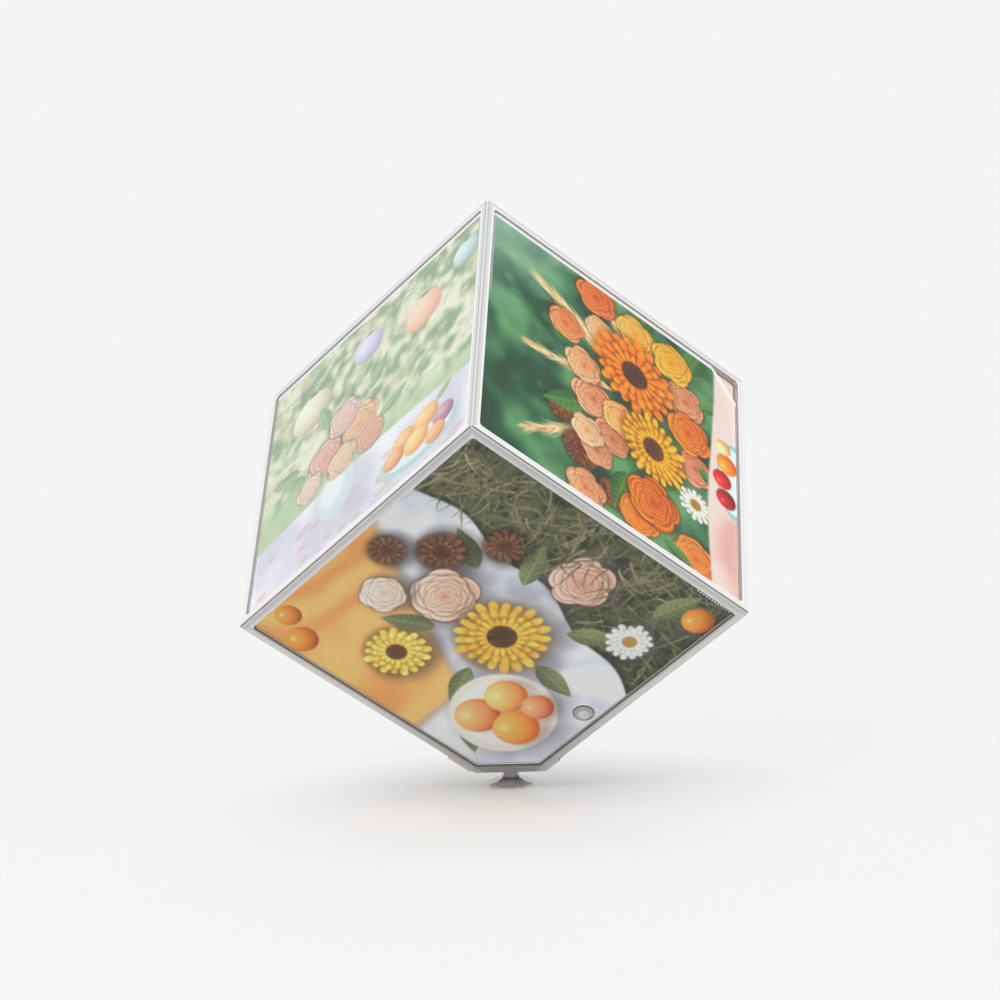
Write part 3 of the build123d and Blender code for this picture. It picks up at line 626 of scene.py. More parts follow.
def add_ticks(face, tone, tree, inputs):
    """The ticks of one face in one tone, made in its own coordinates and then put in place."""
    edge, axis = ticked_sides[face].split()
    along, across, high = tick_size
    off = tick_off if edge == "lower" else cube_side - tick_off
    depth = -tick_top - high / 2
    shift = tick_pitch / 2 if tone == "dark" else 0
    runs = (tick_start + shift, tick_ends[face.split("_")[0]] + shift)
    ends = [(off, run, depth) if axis == "x" else (run, off, depth) for run in runs]
    data = bpy.data.meshes.new("tick_line")
    data.from_pydata(ends, [(0, 1)], [])
    ticks = add_object(f"{tone}_ticks_{face}", data)
    maker = ticks.modifiers.new("ticks", "NODES")
    maker.node_group = tree
    maker[inputs["Pitch"]] = tick_pitch
    maker[inputs["Tick Size"]] = (across, along, high) if axis == "x" else (along, across, high)
    made = bpy.data.meshes.new_from_object(ticks.evaluated_get(bpy.context.evaluated_depsgraph_get()))
    ticks.modifiers.clear()
    ticks.data = made
    bpy.data.meshes.remove(data)
    made.name = ticks.name
    made.transform(face_matrix(face))
    made.update()
    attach(ticks, "cube")


# Pictures in the cube: painted on square canvases, in shares of the side, from the far things to the near
canvas_side = 640
golden_turn = pi * (3 - sqrt(5))
black = "000000"
stroke_edge = 0.8 / canvas_side  # over which a stroke fades out
thing_edge = 0.003  # over which a painted thing fades out
florets = 90  # in a daisy's heart
middle_grey = 128
film_grain = 3
print_range = (4, 250)  # its darkest and lightest values
print_softness = 0.0011


def ramp(value, low, high):
    """A soft step from 0 at low to 1 at high. Low may be the higher of the two."""
    share = np.clip((value - low) / (high - low), 0, 1)
    return share * share * (3 - 2 * share)


def between(first, second, share):
    """Colours between two colours."""
    first = srgb(first)
    return first + (srgb(second) - first) * np.asarray(share)[..., None]


def turned(x, y, lean):
    """Places in axes that are turned by this angle."""
    return x * cos(lean) + y * sin(lean), y * cos(lean) - x * sin(lean)


class Picture:
    """A print while it is painted, in sRGB values from 0 to 255."""

    def __init__(self, seed, low_colour, high_colour):
        self.random = np.random.default_rng(seed)
        ticks = (np.arange(canvas_side) + 0.5) / canvas_side
        self.right, self.up = np.meshgrid(ticks, ticks)
        self.colour = between(low_colour, high_colour, self.up)

    def pick(self, low, high, count=None):
        """Random numbers of a range."""
        return self.random.uniform(low, high, count)

    def window(self, right, up, reach, lean=0.0, squash=1.0):
        """The part of the canvas near a place, and in it the places in a thing's own leaning axes."""
        part = tuple(
            slice(max(0, int(low * canvas_side)), max(0, int(high * canvas_side) + 1))
            for low, high in ((middle - reach, middle + reach) for middle in (up, right))
        )
        x, y = turned(self.right[part] - right, self.up[part] - up, lean)
        return part, x, y / squash

    def lay(self, colour, cover, part=...):
        """Lays a colour over a part of the picture."""
        self.colour[part] = between(self.colour[part], colour, cover)

    def clouds(self, across, upward, octaves, rough=0.5):
        """Soft noise from 0 to 1, with this many clouds across and up the picture."""
        total = 0
        weights = [rough**octave for octave in range(octaves)]
        for octave, weight in enumerate(weights):
            columns, rows = (int(count * 2**octave) + 1 for count in (across, upward))
            values = self.random.random((rows + 1, columns + 1))
            along, above = self.right * columns, self.up * rows
            column, row = along.astype(int), above.astype(int)
            along_share, above_share = ramp(along - column, 0, 1), ramp(above - row, 0, 1)
            low, high = (
                values[line, column] * (1 - along_share) + values[line, column + 1] * along_share
                for line in (row, row + 1)
            )
            total = total + weight * (low * (1 - above_share) + high * above_share)
        return total / sum(weights)

    def blur(self, reach):
        """Blurs all that is painted so far, as a lens blurs what lies behind."""
        border = int(3 * reach * canvas_side) + 1
        padded = np.pad(self.colour, ((border, border), (border, border), (0, 0)), "edge")
        rates = np.fft.fftfreq(len(padded)) * canvas_side
        fade = np.exp(-2 * (pi * reach * rates) ** 2)
        waves = np.fft.fft2(padded, axes=(0, 1)) * fade[:, None, None] * fade[None, :, None]
        self.colour = np.fft.ifft2(waves, axes=(0, 1)).real[border:-border, border:-border]

    def disc(self, right, up, radius, colour, cover=1.0, soft=0.004, squash=1.0):
        """A round spot, or an upright or flat one, with a soft edge."""
        part, x, y = self.window(right, up, (radius + soft) * max(1, squash), 0, squash)
        away = np.hypot(x, y)
        self.lay(colour, cover * ramp(away, radius + soft, max(0, radius - soft)), part)

    def scatter(self, count, rights, ups, radii, colours, cover, soft=0.006):
        """Discs of light, petals or pebbles at random places."""
        for _ in range(count):
            colour = colours[self.random.integers(len(colours))]
            place = (self.pick(*rights), self.pick(*ups))
            self.disc(*place, self.pick(*radii), colour, cover * self.pick(0.5, 1), soft)

    def shadow(self, right, up, radius, colour, cover):
        """The soft shadow of a thing that lies or stands on the ground, away from the light."""
        self.disc(right + 0.1 * radius, up - 0.13 * radius, 0.92 * radius, colour, cover, 0.3 * radius)

    def ball(self, right, up, radius, dark, light, squash=1.0, ribs=0, gloss=0.4):
        """A fruit or a paper lantern, lit from the upper left."""
        part, x, y = self.window(right, up, radius + thing_edge)
        x, y = x / radius, y / radius / squash
        away = np.hypot(x, y)
        soft = thing_edge / radius
        height = np.sqrt(np.clip(1 - away**2, 0, 1))
        lit = np.clip(0.22 + 0.62 * height - 0.36 * x + 0.4 * y, 0, 1)
        if ribs:
            lit = lit * (0.93 + 0.07 * np.cos(np.arcsin(np.clip(y, -1, 1)) * ribs))
        self.lay(between(dark, light, lit), ramp(away, 1 + soft, 1 - soft), part)
        self.lay("fffcf4", gloss * ramp(np.hypot(x + 0.34, y - 0.38), 0.34, 0), part)

    def daisy(self, right, up, radius, petals, dark, light, heart, layers=3, squash=1.0, lean=0.0):
        """A flower of long petals in layers, round a heart of small florets."""
        part, x, y = self.window(right, up, 1.15 * radius, lean, squash)
        away = np.hypot(x, y)
        pitch = 2 * pi / petals
        for layer in range(layers):
            reach = radius * (1 - 0.22 * layer)
            self.lay(between(dark, black, 0.45), 0.45 * ramp(away, 1.1 * reach, 0.85 * reach), part)
            place = (np.arctan2(y, x) + self.pick(0, pitch)) / pitch
            petal = np.floor(place).astype(int) % petals
            tip = away / (reach * self.pick(0.86, 1.04, petals)[petal])
            tone = self.pick(-0.18, 0.18, petals)[petal]
            side = np.abs(place - np.floor(place) - 0.5) * 2
            outline = np.sqrt(np.clip(1 - (np.clip(tip - 0.6, 0, 1) / 0.4) ** 2, 0, 1))
            soft = thing_edge / np.maximum(away * pitch / 2, thing_edge)
            streaks = 0.06 * np.sin(side * 14 + petal)
            lit = 0.22 + 0.62 * ramp(tip, 0.1, 0.85) + tone + streaks - 0.34 * side**2
            cover = ramp(0.97 * outline - side, -soft, soft) * ramp(tip, 1, 0.97)
            self.lay(between(dark, light, np.clip(lit, 0, 1)), cover, part)
        self.disc(right, up, 0.3 * radius, between(heart, black, 0.45), 0.95, thing_edge, squash)
        for floret in range(florets):
            share = sqrt((floret + 0.5) / florets)
            reach = 0.28 * radius * share
            turn = floret * golden_turn
            tone = between(heart, "ffe296", self.pick(0, 0.45) * share)
            place = (right + reach * cos(turn), up + squash * reach * sin(turn))
            self.disc(*place, 0.022 * radius, tone, 0.8, 0.002)

    def rose(self, right, up, radius, dark, light, layers=9, squash=1.0):
        """A full rose: lobed rings of petals, each with a light lip over its shadow."""
        part, x, y = self.window(right, up, 1.2 * radius, 0, squash)
        self.lay(between(dark, black, 0.6), 0.5 * ramp(np.hypot(x, y), 1.15 * radius, 0.8 * radius), part)
        for layer in range(layers):
            reach = radius * (1 - layer / layers) ** 0.85
            lobes = 5 if layer < layers / 2 else 3
            shift = self.pick(-0.09, 0.09, 2) * reach
            turn = np.arctan2(y - shift[1], x - shift[0]) + self.pick(0, pi)
            lobe = np.abs(np.sin(turn * lobes / 2)) ** 0.6
            depth = np.hypot(x - shift[0], y - shift[1]) / (reach * (0.8 + 0.2 * lobe))
            soft = thing_edge / reach
            # Light from the upper left, a thin bright lip, fine veins, and a dark fold between two petals
            slant = 0.16 * (y - x) / radius
            lip = 0.3 * ramp(depth, 0.86, 0.97)
            veins = 0.05 * np.sin(turn * 46 + 3 * layer) * ramp(depth, 0.3, 0.8)
            fold = 0.34 * ramp(lobe, 0.5, 0.1)
            self.lay(between(dark, black, 0.45), 0.75 * ramp(depth, 1.12, 0.96), part)
            lit = np.clip(0.1 + 0.52 * ramp(depth, 0.4, 0.95) + lip + slant + veins - fold, 0, 1)
            self.lay(between(dark, light, lit), ramp(depth, 1 + soft, 1 - soft), part)

    def leaf(self, right, up, angle, length, width, dark, light):
        """A leaf from its stalk outwards, with its middle rib and side veins."""
        lean = radians(angle)
        middle = (right + cos(lean) * length / 2, up + sin(lean) * length / 2)
        part, x, y = self.window(*middle, 0.6 * length, lean)
        along = x / length + 0.5
        across = y / width * 2
        half = np.sin(pi * np.clip(along, 0, 1) ** 0.8)
        veins = np.sin((along * 8 - np.abs(across) * 1.2) * 2 * pi)
        lit = np.clip(0.5 + 0.28 * across + 0.1 * veins, 0, 1)
        tone = between(between(dark, light, lit), light, 0.7 * ramp(np.abs(across), 0.12, 0))
        soft = thing_edge / width
        self.lay(tone, ramp(np.abs(across), half + soft, half - soft) * (half > 0), part)

    def blade(self, right, up, length, width, angle, bend, colour, cover):
        """A tapered, bent stroke, such as a blade of grass or a strand of a plume."""
        lean = radians(angle)
        part, x, y = self.window(right, up, length, lean)
        along = x / length
        across = y - bend * length * along**2
        half = width / 2 * np.clip(1 - along, 0, 1) ** 0.6
        stroke = ramp(np.abs(across), half + stroke_edge, half - stroke_edge) * ((along > 0) & (along < 1))
        self.lay(colour, cover * stroke, part)

    def blades(self, count, rights, ups, lengths, widths, angles, colours, bend, cover=1.0):
        """Strokes at random places in ranges, in shades of some colours."""
        for _ in range(count):
            colour = colours[self.random.integers(len(colours))]
            colour = np.clip(srgb(colour) * self.pick(0.8, 1.2), 0, 255)
            self.blade(self.pick(*rights), self.pick(*ups), self.pick(*lengths), self.pick(*widths),
                       self.pick(*angles), self.pick(-bend, bend), colour, cover)

    def plume(self, right, up, length, angle, spread, colours, count):
        """A feathery grass plume: fine strands that leave a stalk both ways."""
        lean = radians(angle)
        for _ in range(count):
            along = self.pick(0, 0.9)
            side = self.random.choice((-1, 1))
            self.blade(
                right + along * length * cos(lean), up + along * length * sin(lean),
                length * self.pick(0.18, 0.34) * (1.1 - 0.6 * along), self.pick(0.003, 0.007),
                angle + side * spread * self.pick(0.2, 1), -side * self.pick(0.1, 0.5),
                colours[self.random.integers(len(colours))], 0.7,
            )

    def folds(self, colour, deep, cover, angle, count):
        """Cloth over a part of the picture, with soft folds across an angle."""
        lean = radians(angle)
        wander = self.clouds(3, 3, 3) * 1.6
        run = turned(self.right, self.up, lean)[0] * count + wander * count / 4
        height = (0.5 + 0.5 * np.sin(run * 2 * pi)) ** 2
        weave = self.clouds(90, 90, 1) * 0.12
        self.lay(between(colour, deep, np.clip(0.75 * height + weave, 0, 1)), cover)

    def develop(self, contrast=1.05, lift=0.0, glare_veil=0.02):
        """The last step of a print: contrast about the middle, a white veil of painted glare and the film's
        grain.
        """
        shown = (self.colour - middle_grey) * contrast + middle_grey + lift
        shown = shown + (255 - shown) * glare_veil
        shown += self.random.normal(0, film_grain, shown.shape[:2])[..., None]
        self.colour = np.clip(shown, *print_range)
        self.blur(print_softness)
        return self


def flower_table():
    """A bunch of orange and mustard flowers on a garden table, in front of a green hedge."""
    art = Picture(11, "54825c", "3a684a")
    hedge = art.clouds(7, 7, 4)
    art.lay("709c70", 0.85 * ramp(hedge, 0.47, 0.66))
    art.lay("1e4632", 0.85 * ramp(hedge, 0.5, 0.32))
    art.blur(0.01)
    greens = ["86b082", "9cbe92", "62926a", "467c58"]
    art.scatter(110, (0, 1), (0.1, 1), (0.01, 0.034), greens, 0.32)
    art.blur(0.004)
    straw = ["dec292", "eed8ae", "c4a06c", "aa8252", "f6e6c4"]
    for *row, count in (
        (0.66, 0.44, 0.44, 64, 34, 420), (0.56, 0.5, 0.36, 98, 30, 300), (0.76, 0.4, 0.4, 38, 32, 320),
        (0.36, 0.52, 0.4, 126, 30, 320), (0.2, 0.46, 0.36, 150, 30, 260),
    ):
        art.plume(*row, straw, count)
    browns = ["683a22", "88502e", "4e2a1a", "a86c40"]
    for right, up, radius in ((0.2, 0.62, 0.075), (0.33, 0.7, 0.062), (0.1, 0.5, 0.058)):
        art.shadow(right, up, 1.25 * radius, "1e281a", 0.45)
        art.daisy(right, up, radius, 26, browns[2], browns[3], browns[0], 4)
        near = [(middle - radius / 2, middle + radius / 2) for middle in (right, up)]
        art.blades(90, *near, (0.02, 0.05), (0.003, 0.006), (0, 360), browns, 0.8, 0.8)
    # Painted glare: a pale veil over the corner by the cube's top, standing in for a reflection on the cover
    art.lay("b0ccb8", 0.75 * ramp(art.right + art.up, 1.45, 2.0))
    for row in ((0.42, 0.6, 120), (0.24, 0.44, 165), (0.9, 0.36, 20), (0.88, 0.2, -20), (0.12, 0.22, 200)):
        art.leaf(*row, 0.2, 0.085, "244e2c", "749e54")
    for row in (
        (0.46, 0.58, 0.085, "b05c3a", "f4be98"), (0.34, 0.5, 0.07, "a05438", "ecb08c"),
        (0.58, 0.62, 0.072, "be683e", "facea0"), (0.9, 0.42, 0.08, "ce8428", "fcd278"),
        (0.24, 0.56, 0.062, "aa5c3c", "f2be96"), (0.8, 0.56, 0.06, "c47846", "fad4a8"),
        (0.08, 0.4, 0.08, "c45c18", "f8a446"), (0.05, 0.6, 0.078, "b4603e", "f8c89c"),
        (0.45, 0.47, 0.074, "ce783c", "fece8c"), (0.72, 0.7, 0.07, "ba5a32", "f6b078"),
        (0.94, 0.58, 0.082, "b04a1e", "f09650"), (0.3, 0.6, 0.064, "c48054", "fcdeb8"),
        (0.74, 0.21, 0.082, "b05c3a", "f4bc94"), (0.06, 0.17, 0.09, "be6028", "faac5c"),
        (0.46, 0.17, 0.072, "aa5438", "f0b28e"),
    ):
        art.rose(*row)
    art.daisy(0.7, 0.42, 0.175, 19, "be560a", "f69c24", "5c321a", 3)
    art.daisy(0.42, 0.34, 0.15, 23, "be760c", "f8be3e", "6e3e18", 3, 0.9, 0.4)
    art.rose(0.18, 0.34, 0.105, "ac4610", "f09436")
    art.rose(0.88, 0.27, 0.085, "c48014", "faca5c")
    art.rose(0.6, 0.2, 0.088, "b84c12", "f49e42")
    art.daisy(0.3, 0.17, 0.07, 15, "cec4b0", "fcfaf0", "c48c28", 2)
    for row in ((0.48, 0.16, 240), (0.76, 0.16, 300), (0.06, 0.3, 250)):
        art.leaf(*row, 0.13, 0.05, "285632", "86aa64")
    edge = 0.105 + 0.015 * np.sin(art.right * 5)
    table = ramp(art.up, edge + 0.006, edge - 0.006)
    art.folds("e8cec6", "cea49c", table, 80, 2)
    art.disc(0.52, 0.01, 0.17, "96beba", 1, 0.004, 0.42)
    art.disc(0.52, 0.015, 0.15, "cee4e0", 1, 0.006, 0.38)
    for row in (
        (0.42, 0.045, 0.04, "6e0a1a", "ce2832"), (0.5, 0.06, 0.038, "96121a", "e24236"),
        (0.58, 0.04, 0.042, "c4560a", "faa83c"), (0.65, 0.055, 0.032, "be8c50", "fae2aa"),
    ):
        art.ball(*row)
    return art.develop(1.3, 2, 0)


def lantern_garden():
    """A bright garden with paper lanterns, and a laid table with roses and fruit, in pale colours under
    painted glare.
    """
    art = Picture(23, "ced6be", "b0c4a0")
    flecks = art.clouds(26, 22, 3, 0.7)
    art.lay("ece8d0", ramp(flecks, 0.5, 0.64))
    art.lay("76946a", 0.9 * ramp(flecks, 0.5, 0.36))
    sunny = art.clouds(5, 5, 3)
    art.lay("dedab0", 0.5 * ramp(sunny, 0.5, 0.68))
    art.blur(0.006)
    art.scatter(140, (0, 1), (0.35, 1), (0.006, 0.02), ["fcf8e2", "eeecce", "a0b88e"], 0.4)
    art.blur(0.003)
    lawn = ramp(art.up + 0.06 * art.right, 0.5, 0.38)
    art.lay("acc898", 0.8 * lawn)
    string_colour = "96968c"
    for right, up, *curve in ((-0.02, 0.9, 4, -0.1), (0.4, 0.985, -12, 0.12)):
        art.blade(right, up, 0.75, 0.007, *curve, string_colour, 0.8)
    for right, up, radius, dark, light in (
        (0.2, 0.76, 0.095, "beb08c", "fef8e6"), (0.47, 0.84, 0.07, "a89ec4", "ece6fa"),
        (0.74, 0.77, 0.085, "e29e80", "ffdabe"), (0.93, 0.88, 0.06, "8cb2b0", "e0f2ee"),
    ):
        art.blade(right, up, 0.2, 0.004, 90, 0, string_colour, 0.7)
        art.ball(right, up, radius, dark, light, 0.92, 22, 0.25)
        art.disc(right, up + 0.9 * radius, 0.22 * radius, "787064", 0.8, 0.003, 0.35)
    cloth = ramp(art.up - 0.06 * np.sin(art.right * 2.4), 0.262, 0.25)
    art.folds("f0f0f6", "ceccde", cloth, 20, 3)
    for _ in range(26):
        art.disc(art.pick(0, 1), art.pick(0, 0.22), 0.022, "ea9c8a", 0.5, 0.008, 0.55)
    art.shadow(0.4, 0.2, 0.17, "b4b0be", 0.5)
    art.disc(0.38, 0.245, 0.085, "cedede", 1, 0.004, 1.35)
    art.disc(0.36, 0.265, 0.055, "f0f8f7", 0.8, 0.02, 1.3)
    for row in ((0.22, 0.42, 150), (0.56, 0.42, 25), (0.3, 0.6, 110), (0.5, 0.6, 60), (0.18, 0.5, 170)):
        art.leaf(*row, 0.15, 0.06, "688c60", "bad0a0")
    for row in (
        (0.3, 0.46, 0.082, "ce826c", "fcd4be"), (0.46, 0.48, 0.088, "d68c5c", "fed8ac"),
        (0.38, 0.58, 0.076, "d89c8c", "ffe2d4"), (0.24, 0.37, 0.06, "deb096", "ffecd8"),
        (0.53, 0.37, 0.064, "cc7860", "fac4a8"), (0.39, 0.38, 0.07, "dca478", "ffe6c4"),
    ):
        art.rose(*row)
    art.shadow(0.77, 0.12, 0.2, "bab8c4", 0.4)
    art.disc(0.77, 0.125, 0.175, "b0d0ce", 1, 0.004, 0.45)
    art.disc(0.77, 0.135, 0.15, "deecea", 1, 0.006, 0.42)
    for row in (
        (0.7, 0.2, 0.052, "ce7a3c", "fec684"), (0.8, 0.22, 0.056, "d68642", "ffce8c"),
        (0.88, 0.17, 0.046, "804668", "ce96b2"), (0.66, 0.15, 0.046, "c66c42", "fab680"),
        (0.76, 0.15, 0.056, "da8a3c", "ffd48e"), (0.85, 0.11, 0.044, "ce7646", "fcbc82"),
    ):
        art.ball(*row, 0.92, 0, 0.3)
    art.leaf(0.84, 0.25, 40, 0.09, 0.035, "789668", "bed0a0")
    # A strong white veil of painted glare over the whole print
    return art.develop(0.98, 6, 0.16)


def picnic_from_above():
    """Flowers, fruit and cones on a folded cloth in the grass, seen from above."""
    art = Picture(37, "464834", "54563e")
    turf = art.clouds(30, 30, 3, 0.7)
    art.lay("323426", ramp(turf, 0.52, 0.38))
    grass = ["68684a", "7a7452", "585e42", "867c60", "4a523a", "948a68"]
    art.blades(1500, (0, 1.02), (0, 1.05), (0.05, 0.15), (0.003, 0.008), (0, 360), grass, 0.6, 0.85)
    edge = 0.8 - 0.2 * (art.up - 0.5) ** 2 + 0.018 * np.sin(art.up * 17)
    cloth = ramp(art.right + 0.22 * (1 - art.up), edge + 0.005, edge - 0.005)
    rim_shade = ramp(art.right + 0.22 * (1 - art.up), edge + 0.035, edge)
    art.lay("22221a", 0.7 * rim_shade * (1 - cloth))
    art.folds("dee0e8", "b0b6c8", cloth, 30, 4)
    art.folds("eae8ec", "c4c4d0", 0.35 * cloth, -50, 6)
    mustard = ramp(art.right - 0.55 * art.up, 0.02, -0.02) * ramp(art.up, 0.36, 0.4)
    art.lay("5a4628", 0.5 * ramp(art.right - 0.55 * art.up, 0.05, -0.02) * ramp(art.up, 0.33, 0.4))
    art.folds("ecb268", "cc884a", mustard, 70, 4)
    for right, up, angle in (
        (0.36, 0.6, 120), (0.6, 0.3, -60), (0.3, 0.42, 200), (0.66, 0.52, 20), (0.44, 0.28, -100),
        (0.62, 0.66, 60), (0.82, 0.16, -20), (0.14, 0.3, 230),
    ):
        art.shadow(right, up, 0.07, "5a5c64", 0.2)
        art.leaf(right, up, angle, 0.17, 0.07, "465236", "949c68")
    for right, up, radius in ((0.6, 0.78, 0.08), (0.74, 0.66, 0.066), (0.5, 0.9, 0.06)):
        art.shadow(right, up, 1.35 * radius, "28201a", 0.55)
        art.daisy(right, up, radius, 13, "3a2218", "8e5e42", "523020", 5)
    for right, up, radius, dark, light in (
        (0.47, 0.66, 0.105, "ba806c", "f4d4be"), (0.78, 0.4, 0.098, "b47462", "f2cab6"),
        (0.36, 0.8, 0.07, "c4a08c", "f8e6d6"),
    ):
        art.shadow(right, up, 1.3 * radius, "46424a", 0.45)
        art.rose(right, up, radius, dark, light)
    for right, up, radius, petals, dark, light, heart in (
        (0.46, 0.43, 0.15, 21, "c4801e", "f6c454", "54321e"),
        (0.2, 0.62, 0.105, 17, "ce962c", "fad66e", "603a22"),
        (0.7, 0.14, 0.075, 15, "d2ccc4", "faf8f2", "c8963c"),
    ):
        art.shadow(right, up, 1.2 * radius, "423a3a", 0.5)
        art.daisy(right, up, radius, petals, dark, light, heart)
    art.shadow(0.22, 0.22, 0.19, "5a5458", 0.45)
    art.disc(0.22, 0.22, 0.165, "d6cec4", 1, 0.004)
    art.disc(0.22, 0.22, 0.135, "ece6de", 1, 0.006)
    for right, up, radius, dark, light in (
        (0.16, 0.27, 0.07, "b04e28", "f8b270"), (0.28, 0.26, 0.066, "ba6028", "fcc276"),
        (0.2, 0.15, 0.072, "c45a1e", "faac54"), (0.31, 0.16, 0.05, "a8462c", "f09e6e"),
    ):
        art.shadow(right + 0.01, up - 0.01, 1.15 * radius, "6e5446", 0.4)
        art.ball(right, up, radius, dark, light, 1, 0, 0.3)
    for row in ((0.9, 0.05, 0.05), (0.05, 0.86, 0.05), (0.1, 0.95, 0.04)):
        art.ball(*row, "964a1a", "ec963e")
    art.blades(140, (0.78, 1.0), (0.25, 1.05), (0.06, 0.16), (0.004, 0.008), (120, 250), grass, 0.6)
    return art.develop(1.12, 28, 0)


def lake_at_dusk():
    """Hills behind a lake under an evening sky."""
    art = Picture(41, "607896", "7896be")
    sky = ramp(art.up, 0.45, 0.95)
    art.lay(between("fac496", "708eb8", sky), ramp(art.up, 0.44, 0.46))
    haze = art.clouds(3, 14, 5)
    art.lay("fad6be", 0.7 * ramp(haze, 0.5, 0.66) * ramp(art.up, 0.5, 0.62))
    art.disc(0.66, 0.56, 0.045, "ffecc8", 0.95, 0.008)
    for rise, height, colour in ((0.6, 0.1, "968296"), (0.54, 0.08, "68627a"), (0.49, 0.05, "3a424e")):
        ridge = rise - height + 2 * height * art.clouds(4, 0.1, 4)
        art.lay(colour, ramp(art.up, ridge + 0.003, ridge - 0.003) * (art.up > 0.44))
    water = ramp(art.up, 0.446, 0.438)
    art.lay(between("3c5470", "ecb08c", ramp(art.up, 0.1, 0.44)), water)
    ripple = art.clouds(7, 60, 3)
    art.lay("ffdebe", 0.6 * ramp(ripple, 0.52, 0.7) * water)
    art.lay("283c54", 0.5 * ramp(ripple, 0.48, 0.3) * water)
    reeds = ["222c22", "323c28", "42462e"]
    art.blades(240, (-0.02, 0.45), (-0.1, 0.05), (0.15, 0.42), (0.005, 0.011), (70, 108), reeds, 0.25)
    return art.develop()


def flower_meadow():
    """Poppies and daisies in a summer meadow."""
    art = Picture(53, "607c42", "96bad6")
    art.lay("688a54", ramp(art.up, 0.72, 0.62))
    trees = 0.7 + 0.1 * art.clouds(8, 0.1, 4)
    art.lay("4a684a", ramp(art.up, trees + 0.01, trees - 0.01) * ramp(art.up, 0.6, 0.64))
    art.blur(0.008)
    grass = ["628642", "7e9a50", "4c7038", "96a860"]
    art.blades(900, (-0.02, 1.02), (-0.15, 0.5), (0.1, 0.3), (0.003, 0.008), (66, 114), grass, 0.3)
    for _ in range(34):
        right, up = art.pick(0, 1), art.pick(0.05, 0.62)
        size = 0.075 - 0.07 * up
        if art.pick(0, 1) < 0.5:
            art.rose(right, up, size, "961410", "ec4a30", 5, 0.8)
        else:
            art.daisy(right, up, size, 15, "c8c8c4", "fcfcf8", "e2aa28", 2, 0.8)
    return art.develop()


def shells_on_sand():
    """Shells and pebbles on sand beside a shallow sea."""
    art = Picture(67, "d8c4a0", "e2d0b0")
    ripple = art.clouds(5, 24, 4)
    art.lay("bea884", 0.6 * ramp(ripple, 0.52, 0.36))
    art.lay("eee0c4", 0.6 * ramp(ripple, 0.5, 0.66))
    shore = 0.66 + 0.05 * np.sin(art.right * 6) + 0.05 * art.clouds(6, 0.1, 3)
    art.lay("ac9676", 0.7 * ramp(art.up, shore - 0.08, shore - 0.02))
    art.lay(between("96c4be", "3c8498", ramp(art.up, 0.66, 1)), ramp(art.up, shore, shore + 0.01))
    art.lay("f6f8f4", ramp(np.abs(art.up - shore - 0.012), 0.022, 0.004))
    art.scatter(160, (0, 1), (0, 0.6), (0.003, 0.009), ["968268", "e8e2d4", "787064"], 1, 0.002)
    for right, up, radius, dark, light in (
        (0.28, 0.3, 0.11, "c4886c", "fce2cc"), (0.66, 0.42, 0.09, "aa9696", "f4ece8"),
        (0.62, 0.16, 0.1, "cea06e", "feecc8"), (0.14, 0.52, 0.06, "966e60", "e8c8b6"),
    ):
        art.shadow(right + 0.012, up - 0.016, 1.1 * radius, "786248", 0.6)
        art.daisy(right, up, radius, 21, dark, light, dark, 1, 0.85)
        art.rose(right, up - 0.5 * radius, 0.35 * radius, dark, light, 4)
    return art.develop()


# Prints: dense sheets, so that their painted colours stay sharp
print_cells = 270
edge_margin_share = 0.6  # of a cell, between the square cells and the outline
air_gap = 0.06 * mm  # between a cover and the print behind it
hole_reach = 3 * mm  # from the stem's middle, wider than the hole for it


def print_outline(face):
    """The front of a packed print in its face's coordinates: outline segments, front and back heights."""
    shape = bmesh.new()
    shape.from_mesh(nodes[f"print_{face}"].data)
    shape.transform(face_matrix(face).inverted())
    bmesh.ops.remove_doubles(shape, verts=shape.verts, dist=weld)
    heights = [vertex.co.z for vertex in shape.verts]
    front = max(heights)
    in_front = {part for part in shape.faces if all(front - v.co.z < weld for v in part.verts)}
    rim = [edge for edge in shape.edges if sum(part in in_front for part in edge.link_faces) == 1]
    segments = np.array([[vertex.co.xy for vertex in edge.verts] for edge in rim])
    shape.free()
    return segments, front - air_gap, min(heights)


def inside_by(points, segments):
    """How far each point lies inside the outline, or zero outside it."""
    nearest = np.full(len(points), np.inf)
    crossings = np.zeros(len(points), int)
    for start, end in segments:
        run = end - start
        share = np.clip((points - start) @ run / (run @ run), 0, 1)
        nearest = np.minimum(nearest, np.linalg.norm(points - start - share[:, None] * run, axis=1))
        if start[1] != end[1]:
            spans = (start[1] > points[:, 1]) != (end[1] > points[:, 1])
            across = start[0] + (points[:, 1] - start[1]) * run[0] / run[1]
            crossings += spans & (points[:, 0] < across)
    return nearest * (crossings % 2)


def grid_mesh(low, high, segments):
    """The square cells that lie well inside the outline, as a bmesh."""
    ticks = np.linspace(low, high, print_cells + 1)
    points = np.stack(np.meshgrid(ticks, ticks), -1).reshape(-1, 2)
    kept = inside_by(points, segments) > edge_margin_share * (high - low) / print_cells
    first = np.arange((print_cells + 1) * print_cells).reshape(print_cells, -1)[:, :-1].ravel()
    quads = np.stack([first, first + 1, first + print_cells + 2, first + print_cells + 1], 1)
    used, places = np.unique(quads[kept[quads].all(1)], return_inverse=True)
    data = bpy.data.meshes.new("cells")
    data.from_pydata(np.c_[points[used], np.zeros(len(used))].tolist(), [], places.reshape(-1, 4).tolist())
    shape = bmesh.new()
    shape.from_mesh(data)
    bpy.data.meshes.remove(data)
    return shape


